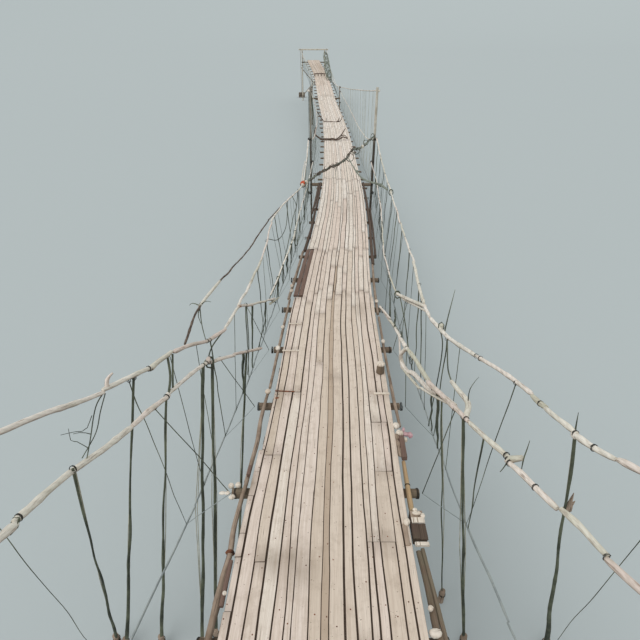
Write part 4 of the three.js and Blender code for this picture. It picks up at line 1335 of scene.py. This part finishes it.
# The box of short planks at the right edge, its post and its caps, and the white-topped post
boxCut = (0.006, 0.15, 0.003)  # chamfer, spacing of the rings, unevenness
planks([
    (4.14, 4.41, 1.38, 1.496, 0.02, -0.002, *boxCut), (4.13, 4.41, 1.498, 1.61, 0.016, -0.01, *boxCut),
    (4.16, 4.66, 1.39, 1.42, -0.002, -0.17, *boxCut), (4.16, 4.62, 1.58, 1.61, -0.016, -0.18, *boxCut),
    (4.14, 4.17, 1.42, 1.58, -0.016, -0.18, *boxCut), (4.58, 4.61, 1.42, 1.58, -0.016, -0.18, *boxCut),
], "right_edge_box_planks", logWood, "pale_timber", "right_edge_box")
shape, sideBoards = newShape(), newShape()
addLumps(shape, [
    (4.42, 1.31, 0.045, (0.055, 0.06, 0.055)), (4.61, 1.5, 0.02, (0.075, 0.04, 0.024)),
    (4.55, 1.59, 0.03, (0.04, 0.045, 0.022)), (4.67, 1.48, 0.03, (0.04, 0.03, 0.024)),
])
addTimber(sideBoards, 4.02, 4.4, 1.24, 1.31, 0.03, 0.002, 0.006, 0.1, 0.002)
addTimber(shape, 4.05, 4.11, 1.4, 1.62, -0.02, -0.07, 0.01, 0.03, 0.003)
makePiece(shape, "right_edge_box_knobs", paleWood, "pale_timber", "right_edge_box")
limbs([([(8.75, 1.22, 0.013), (8.75, 1.22, 0.24)], [0.1, 0.09])], "right_edge_post_body", frameWood,
      "pole_timber", "right_edge_post", sides=12, spacing=0.05)
lumps([(8.75, 1.22, 0.27, (0.105, 0.1, 0.045))], "right_edge_post_top", paleWood, "pale_timber",
      "right_edge_post", look=(12,))

# Sawn ends, wedges and knobs beside the deck, and thin battens in its open joints
shape = newShape()
addLumps(shape, [
    (5.34, -1.73, -0.17, (0.055, 0.05, 0.05)), (5.34, -1.6, -0.15, (0.055, 0.05, 0.05)),
    (5.2, -1.86, -0.2, (0.06, 0.04, 0.02)), (5.2, -1.77, -0.2, (0.05, 0.04, 0.025)),
    (5.09, -1.66, -0.17, (0.06, 0.05, 0.03)), (3.28, -1.37, 0.03, (0.03, 0.03, 0.03)),
    (8.05, -1.46, -0.06, (0.07, 0.08, 0.05)), (10.03, -1.45, -0.07, (0.07, 0.09, 0.05)),
    (11.23, -1.44, -0.07, (0.06, 0.08, 0.05)), (13.81, -1.46, -0.05, (0.07, 0.1, 0.05)),
    (14.24, -1.5, -0.05, (0.06, 0.1, 0.05)), (2.8, 1.45, -0.05, (0.09, 0.06, 0.05)),
    (3.11, 1.45, -0.04, (0.04, 0.04, 0.04)), (6.81, 1.4, -0.02, (0.07, 0.08, 0.06)),
    (6.6, 1.45, -0.04, (0.08, 0.08, 0.06)), (6.45, 1.55, -0.08, (0.05, 0.05, 0.05)),
    (10.4, 1.46, -0.08, (0.06, 0.08, 0.05)), (13.0, 1.45, -0.06, (0.06, 0.1, 0.04)),
])
battenDepth = 0.024
for station, left, right, low, across in (
    (7.88, 1.0, 1.36, 0.004, 0.06), (9.77, -1.3, -0.85, 0.003, 0.045), (11.3, -1.28, -0.88, 0.003, 0.04),
):
    start, end = station - across / 2, station + across / 2
    addTimber(shape, start, end, left, right, low + battenDepth, low, 0.005, 0.03, 0.001)
makePiece(shape, "edge_blocks", paleWood, "pale_timber")
lumps([
    (6.66, 1.6, -0.12, (0.1, 0.05, 0.03)), (6.62, 1.68, -0.11, (0.05, 0.08, 0.025)),
    (6.74, 1.55, -0.08, (0.03, 0.04, 0.06)),
], "pink_cloth_bundle", pinkCloth, "pale_timber", look=(12, 8, 0.45))
planks([
    (3.12, 3.79, -1.42, -1.36, 0.008, -0.05, 0.008, 0.2, 0.004),
    (5.46, 5.68, -1.46, -1.4, 0.01, -0.06, 0.008, 0.1, 0.002),
    (5.9, 6.5, 1.42, 1.52, 0.0, -0.1, 0.012, 0.15, 0.004),
], "red_edge_pieces", redWood, "dark_plank")
shape = newShape()
addLimb(shape, deckPoints([(7.99, -1.28, 0.012), (7.96, -0.83, 0.012)]), [0.014, 0.012], 8, 0.06)
addLumps(shape, [(3.98, -1.45, -0.12, (0.075, 0.03, 0.075)), (7.73, -1.2, 0.002, (0.05, 0.03, 0.006))])
makePiece(shape, "iron_bits", rust, "dark_plank")
print("edge pieces laid")

# The crossing tie: two strands twisted round each other, and a branch lashed to it
tie = {
    "route": [(24.15, -1.98, 1.49), (25.9, -1, 1.8), (27, 0.12, 2.15), (28.5, 0.54, 2.45), (30, 1.2, 2.4),
              (31.403, 2.04, 2.85)],
    "branch": [(21.6, 2.2, 1.72), (22.4, 1.95, 1.75), (24.3, 1.05, 1.7), (27.5, 0.27, 2.23)],
    "radius": 0.04, "twist": 0.8, "apart": 0.003, "joints": [25.2, 26.6, 28.3, 29.8],
    "hooks": 34, "hookReach": 0.022, "hookTip": 0.018,
    "creepers": ((0, 0.5), (2, 0.75), (4, 1.1)), "creeperReach": 0.0075, "creeperSway": 0.003,
    "look": {**nearLook, "sides": 8, "lay": 0.25, "straight": 0, "thinning": ((0, 31), (1, 1))},
}
path, along = evenly(smoothCurve(deckPoints(tie["route"]), 24), 0.01)
shape = newShape()
for phase in (0, math.pi):
    turn = along * 2 * math.pi / tie["twist"] + phase
    fade = np.minimum(1, np.minimum(along, along[-1] - along) / 0.3)
    shift = np.stack([np.sin(turn) * 0.2, np.sin(turn) * 0.4, np.cos(turn)], -1) * tie["apart"]
    addRope(shape, path + shift * fade[:, None], tie["radius"], tie["joints"], tie["look"])
addLimb(shape, deckPoints(tie["branch"]), [0.05, 0.045, 0.035, 0.02], 10, 0.1, 0.14, 1)
addLumps(shape, [(22.5, 1.92, 1.74, (0.1, 0.16, 0.08)), (25.4, 0.8, 1.82, (0.09, 0.14, 0.07))])
makePiece(shape, "crossing_tie_strands", greyCord, "rope", "crossing_tie")
for share in np.linspace(0.06, 0.94, 9):
    i = int(share * (len(path) - 1))
    lashings.append((path[i], path[i + 1] - path[i - 1], 0.07))
shape = newShape()
for _ in range(tie["hooks"]):
    i = random.randrange(4, len(path) - 8)
    away = np.array([random.uniform(-0.6, 0.6), random.uniform(-0.5, 0.5), random.uniform(-0.8, 1)])
    away *= tie["hookReach"]
    hook = away + np.array([random.uniform(-1, 1), 0, random.uniform(-1, 0.4)]) * tie["hookTip"]
    addLimb(shape, [path[i], path[i] + away * 0.7, path[i] + hook], [0.022, 0.008], 5, 0.06, 0.1, 0)
for phase, pitch in tie["creepers"]:
    turn = along * 2 * math.pi / pitch + phase
    reach = tie["creeperReach"] + tie["creeperSway"] * np.sin(along * 3 + phase)
    wound = path + np.stack([np.sin(turn) * 0.5, np.sin(turn) * 0.5, np.cos(turn)], -1) * reach[:, None]
    addLimb(shape, wound[4:-4:3], [0.02, 0.026, 0.02], 6, 0.06, 0.2, 0)
makePiece(shape, "crossing_tie_creepers", creeper, "rope", "crossing_tie")


# A coil of cord round a centre, which sinks a little as it turns
def loop(centre, across, tall, turns, drop, lean):
    start, steps = random.uniform(0, 6), int(14 * turns)
    coil = []
    for i in range(steps + 1):
        turn = start + 2 * math.pi * turns * i / steps
        coil.append((centre[0] + lean * math.sin(turn), centre[1] + across * math.cos(turn),
                     centre[2] + tall * math.sin(turn) - drop * i / steps))
    return coil


# Loose ends, stubs and spare cords on the side ropes, by their places on the bridge
limbs([
    ([(4.86, -3.09, 2.51), (4.9, -3.07, 2.64), (4.95, -3.0, 2.71)], [0.032, 0.026, 0.012]),
    ([(12.2, -1.94, 0.24), (12.9, -1.76, 0.13)], [0.035, 0.02]),
    ([(24.15, -2.15, 1.43), (24.3, -2.09, 2.02), (24.4, -1.98, 2.58)], [0.045, 0.03, 0.02]),
    ([(4.95, 2.08, 1.85), (5.4, 2.24, 1.78), (5.8, 2.18, 1.74), (6.1, 2.14, 1.7)], [0.046, 0.046, 0.036]),
    ([(7.75, 1.6, 1.38), (7.9, 1.52, 1.1), (7.9, 1.56, 0.91), (7.6, 1.63, 0.87), (7.3, 1.7, 1.03),
      (6.8, 1.79, 1.17), (6.4, 1.87, 1.27), (5.8, 1.98, 1.58), (5.4, 2.05, 1.72)],
     [0.045, 0.05, 0.04, 0.035]),
    ([(9.3, 2.22, 1.62), (10.2, 2.02, 1.36), (11.1, 1.83, 1.11)], [0.05, 0.045, 0.04]),
    ([(3.92, 2.33, 2.04), (3.8, 2.42, 2.2)], [0.05, 0.035]),
    ([(12.2, 1.5, 0.15), (10.5, 1.65, 0.5)], [0.03, 0.035]),
    ([(10.3, 1.6, 0.66), (9, 1.62, 1.0), (8, 1.62, 1.27)], [0.03, 0.035, 0.03]),
], "rope_stubs", ropeFibre, "rope", sides=9, spacing=0.06, rough=0.12)
looseCords = [
    ([(6.25, -2.79, 2.12), (6, -2.7, 1.88), (5.72, -2.66, 1.72)], [0.02, 0.022]),
    ([(6.42, -2.77, 2.08), (5.85, -2.64, 1.68)], [0.018, 0.016]),
    ([(8.35, -2.37, 1.5), (7.8, -2.52, 1.38), (7.3, -2.49, 1.34)], [0.016, 0.014]),
    ([(4.85, -3.11, 2.48), (4.6, -3.13, 2.42), (4.0, -2.96, 2.3), (3.75, -2.89, 2.25)], [0.009, 0.007]),
    ([(3.95, 2.34, 2.08), (3.95, 2.33, 1.9), (3.97, 2.3, 1.75)], [0.01, 0.008, 0.005]),
    ([(3.78, 2.45, 2.0), (3.78, 2.43, 2.2), (3.78, 2.43, 2.4), (3.8, 2.44, 2.5)],
     [0.005, 0.008, 0.007, 0.003]),
    ([(5.4, 2.24, 1.78), (5.45, 2.24, 2.0), (5.5, 2.3, 2.12), (5.55, 2.38, 2.2)],
     [0.009, 0.008, 0.006, 0.003]),
    ([(8.55, -2.9, 1.97), (8.2, -2.8, 1.75), (7.7, -2.6, 1.64)], [0.012, 0.008]),
    ([(8.6, -2.9, 1.98), (8.7, -3.1, 2.0), (8.75, -3.2, 1.92)], [0.014, 0.004]),
    ([(8.7, -2.9, 1.98), (8.6, -2.75, 2.1), (8.6, -2.65, 2.08)], [0.014, 0.004]),
    ([(8.6, -2.9, 1.97), (8.5, -2.95, 1.8), (8.45, -2.9, 1.6)], [0.014, 0.005]),
    ([(12.1, -1.95, 0.42), (12.4, -1.93, 0.45), (13.3, -1.81, 0.59), (14.2, -1.77, 0.81), (15, -1.73, 1.1),
      (18, -1.88, 1.4), (20, -2, 1.4), (21.5, -2.38, 1.48)], [0.014, 0.014]),
    ([(11.9, -2.0, 0.5), (11.9, -2.08, -0.23), (11.9, -2.21, -0.71), (11.9, -2.36, -1.25)], [0.014, 0.014]),
    ([(23, -2.24, 1.42), (22.5, -2.25, 0.89), (22.3, -2.29, 0.48), (22.1, -2.3, 0.02), (22, -2.2, -1.2)],
     [0.018, 0.014]),
    ([(25, -1.9, 1.1), (22.5, -1.87, 0.42), (20, -1.85, 0.36), (17.5, -1.69, 0.33), (16, -1.64, 1.2)],
     [0.013, 0.013]),
    ([(20.6, -2.45, 1.45), (18, -2.2, 0.98), (17, -2.25, 0.88), (16.5, -2.33, 0.92), (15.5, -2.5, 1.3)],
     [0.014, 0.014]),
    ([(6.1, 2.14, 1.7), (6.5, 2.17, 1.67), (7.7, 2.41, 1.62)], [0.013, 0.011]),
    ([(10.9, 1.88, 1.14), (9.4, 1.82, 1.09), (7.85, 1.65, 1.33)], [0.014, 0.014]),
    ([(8.2, 2.36, 1.6), (8.1, 2.44, 1.29), (8.1, 2.45, -1.22)], [0.012, 0.012]),
    ([(8, 2.41, 1.6), (8.3, 2.52, 1.86), (8.8, 2.72, 2.29)], [0.015, 0.011, 0.005]),
    ([(3.93, 3.04, 2.5), (4.0, 3.06, 2.62), (4.05, 3.07, 2.74)], [0.012, 0.008, 0.003]),
    ([(4.8, -3.1, 2.45), (4.5, -3.05, 2.36), (4.2, -2.98, 2.28), (3.7, -2.91, 2.3)], [0.008, 0.006]),
    ([(4.4, -3.11, 2.38), (4.2, -3.12, 2.3), (4.1, -3.2, 2.36), (4.0, -3.3, 2.4)], [0.006, 0.003]),
    ([(4.1, -2.99, 2.32), (4.05, -3.06, 2.4), (4.0, -3.14, 2.42)], [0.006, 0.003]),
    ([(3.9, -2.95, 2.28), (3.95, -3.1, 2.34), (4.0, -3.2, 2.3), (4.1, -3.25, 2.42)], [0.006, 0.003]),
    ([(26.5, -0.33, 1.93), (26.5, -0.4, 1.5), (26.5, -0.38, 1.24)], [0.02, 0.012]),
    ([(10.3, -2.25, 1.2), (10.3, -2.3, -0.2), (10.3, -2.42, -1.2)], [0.012, 0.012]),
]
for centre, across, tall, radius in (
    ((28.2, 0.43, 2.1), 0.22, 0.22, 0.018), ((29, 0.81, 2.33), 0.2, 0.16, 0.018),
    ((30.6, 1.49, 2.6), 0.16, 0.14, 0.016), ((31.2, 1.95, 2.84), 0.12, 0.2, 0.018),
    ((8.2, 2.38, 1.68), 0.06, 0.07, 0.012), ((11.1, 1.84, 1.1), 0.08, 0.08, 0.018),
    ((7.33, -2.46, 1.3), 0.08, 0.09, 0.018), ((21.1, 2.34, 1.72), 0.1, 0.12, 0.02),
    ((2.65, -3.0, 2.49), 0.04, 0.045, 0.006), ((24.1, -2.08, 1.44), 0.14, 0.14, 0.018),
):
    looseCords.append((loop(centre, across, tall, 1.4, 0.03, 0.08), [radius, radius]))
limbs(looseCords, "loose_cords", hangerCord, "rope", sides=6, spacing=0.08, rough=0.05, knots=0)
lumps([
    (30.0, 1.24, 2.42, (0.11, 0.1, 0.11)), (11.1, 1.84, 1.1, (0.05, 0.06, 0.05)),
    (3.92, 3.04, 2.48, (0.045, 0.05, 0.045)), (21.1, 2.34, 1.7, (0.06, 0.12, 0.06)),
    (7.33, -2.48, 1.35, (0.05, 0.08, 0.05)), (8.2, 2.37, 1.64, (0.06, 0.08, 0.06)),
    (8.05, 2.34, 1.78, (0.04, 0.04, 0.04)), (24.0, -2.1, 1.42, (0.08, 0.14, 0.07)),
    (24.3, -1.93, 1.5, (0.1, 0.12, 0.09)), (firstMast, -2.19, 5.5, (0.1, 0.06, 0.06)),
    (firstMast, 2.19, 5.5, (0.1, 0.06, 0.06)),
], "rope_knots", ropeFibre, "rope")
lumps([(24.2, -2.1, 1.46, (0.13, 0.16, 0.13))], "orange_cloth_binding", orangeCloth, "rope",
      look=(12, 8, 0.3))

# Ropes laid across the walkway to tie the two sides together
limbs([
    ([(47, -2.05, 1.21), (47, -2.2, 0.6), (46.9, -1.6, 0.15), (47, -0.9, 0.06), (47.1, -0.2, 0.05),
      (47, 0.3, 0.4), (46.9, 0.75, 1.1)], [0.07, 0.08, 0.04]),
    ([(46.9, -1.6, 0.15), (47.2, -0.8, 0.1), (46.8, 0, 0.08), (47, 0.5, 0.3), (47, 0.95, 0.2)], [0.06, 0.05]),
    ([(57.4, -1.99, 1.15), (57.4, -1.4, 0.35), (57.4, -1.1, 0.06), (57.4, -0.3, 0.04), (57.4, 0.45, 0.05),
      (57.5, 0.65, 0.4)], [0.05, 0.05]),
    ([(57.4, 0.45, 0.05), (57.3, 0.8, 0.15), (57.2, 0.95, 0.6)], [0.05, 0.03]),
    ([(57.4, -0.9, 0.05), (57.3, -0.85, 0.45)], [0.04, 0.02]),
    ([(47, 0.3, 0.4), (46.8, 0.7, 0.5), (46.8, 0.9, 0.35)], [0.05, 0.025]),
    ([(47, -0.9, 0.06), (46.6, -0.5, 0.25), (46.5, 0.1, 0.15), (46.6, 0.5, 0.3)], [0.05, 0.03]),
    ([(47, -1.6, 0.15), (46.5, -1.45, 0.05), (46, -1.25, 0.04)], [0.05, 0.02]),
], "cross_ropes", creeper, "rope", sides=9, spacing=0.12)
lumps([
    (47, -1.6, 0.1, (0.14, 0.16, 0.08)), (47, 0.95, 0.2, (0.08, 0.1, 0.1)),
    (57.4, 0.5, 0.1, (0.1, 0.12, 0.08)),
], "cross_rope_knots", creeper, "rope")
farRail = [([(94.5, -1.27, 0.35), (94.5, 0, 0.38), (94.5, 1.27, 0.35)], [0.09, 0.08])]
for offset in (-1.15, -0.5, 0.1, 0.6, 1.1):
    farRail.append(([(94.5, offset, 0.003), (94.5, offset, 0.42)], [0.07, 0.06]))
limbs(farRail, "far_cross_rail", logWood, "pole_timber")

# Spare cords at the far end. Each coil is tied by its outer side to the upper rope.
spareCords = {"count": 26, "from": 90, "to": 106, "smallest": 0.5, "largest": 0.9}
farLoops = []
for _ in range(spareCords["count"]):
    station = random.uniform(spareCords["from"], spareCords["to"])
    size = random.uniform(spareCords["smallest"], spareCords["largest"])
    hung = atStation(ropeCurves["right", "far", "upper"], station)
    rope = np.array([
        station, hung[0] / modelScale - deckCentre(station), hung[2] / modelScale - deckTop(station),
    ])
    coil = np.array(loop((0, 0, 0), size * 0.6, size * 0.9, 1.1, 0.1, 0.8))
    farLoops.append(((coil - coil[coil[:, 1].argmax()] + rope).tolist(), [0.04, 0.03]))
limbs(farLoops, "far_spare_cords", greyCord, "rope", sides=5, spacing=0.25, rough=0.05, knots=0)
print("cords and knots tied")

# The box's paler cross planks and side board, lumps of wood beside the cloth, and a band on the pole
planks([(4.42, 4.52, 1.4, 1.61, 0.034, 0.004, *boxCut)], "right_edge_box_top_plank", paleWood, "pale_timber",
       "right_edge_box")
addTimber(sideBoards, 4.54, 4.67, 1.4, 1.6, 0.004, -0.02, *boxCut)
makePiece(sideBoards, "right_edge_box_side_boards", sidePoleWood, "pale_timber", "right_edge_box")
lumps([
    (6.08, 1.39, -0.05, (0.045, 0.14, 0.05)), (6.3, 1.38, -0.05, (0.05, 0.12, 0.055)),
    (6.5, 1.38, -0.05, (0.055, 0.1, 0.06)),
], "right_edge_lumps", sidePoleWood, "pale_timber", look=(10, 7, 0.3))
lashings.append((deckPoint(5.32, 1.46, -0.14), (0, 1, 0), 0.046))

# All the windings of cord, and the last of them on posts and caps
for name, entries, turns in (("rope_windings", lashings, 2.4), ("thin_windings", thinLashings, 2.0),
                             ("post_windings", wideLashings, 6.0)):
    print(name, len(entries))
    grown(name, windingPoints(entries), windings, {"Turns": turns}, lashingCord, "rope")

# Floor that rises very gently far from the bridge, and an even, soft light from above
studio = {
    "radius": 90, "reach": 100, "rise": 17, "segments": 64, "steps": 10, "paint": "#b0b7b7", "sun": 1.35,
    "softness": 50, "from": (-0.45, -0.5, 1), "sky": "#d8dcdd", "skyStrength": 1.0,
}
rings = [(studio["radius"], 0)]
for step in range(1, studio["steps"] + 1):
    share = step / studio["steps"]
    rings.append((studio["radius"] + studio["reach"] * share, studio["rise"] * share ** 2))
count = studio["segments"]
points = [(r * math.cos(2 * math.pi * i / count), r * math.sin(2 * math.pi * i / count), z)
          for r, z in rings for i in range(count)]
faces = [tuple(range(count))]
for ring in range(len(rings) - 1):
    for i in range(count):
        first, second = ring * count + i, ring * count + (i + 1) % count
        faces.append((first + count, second + count, second, first))
floorMesh = bpy.data.meshes.new("floor")
floorMesh.from_pydata(points, [], faces)
floorMesh.shade_smooth()
floorMesh.materials.append(newFinish("plain_floor", {
    "shader": {"Base Color": linear(studio["paint"]), "Roughness": 0.95, "Specular IOR Level": 0.1},
}))
floor = addObject("floor", floorMesh)

sunData = bpy.data.lights.new("soft_sun", "SUN")
sunData.energy = studio["sun"]
sunData.angle = math.radians(studio["softness"])
sun = addObject("soft_sun", sunData)
sun.rotation_euler = (-Vector(studio["from"])).to_track_quat("-Z", "Y").to_euler()
world = bpy.data.worlds.new("studio")
world.use_nodes = True
background = world.node_tree.nodes["Background"].inputs
background["Color"].default_value = linear(studio["sky"])
background["Strength"].default_value = studio["skyStrength"]
scene.world = world
print("lights set")
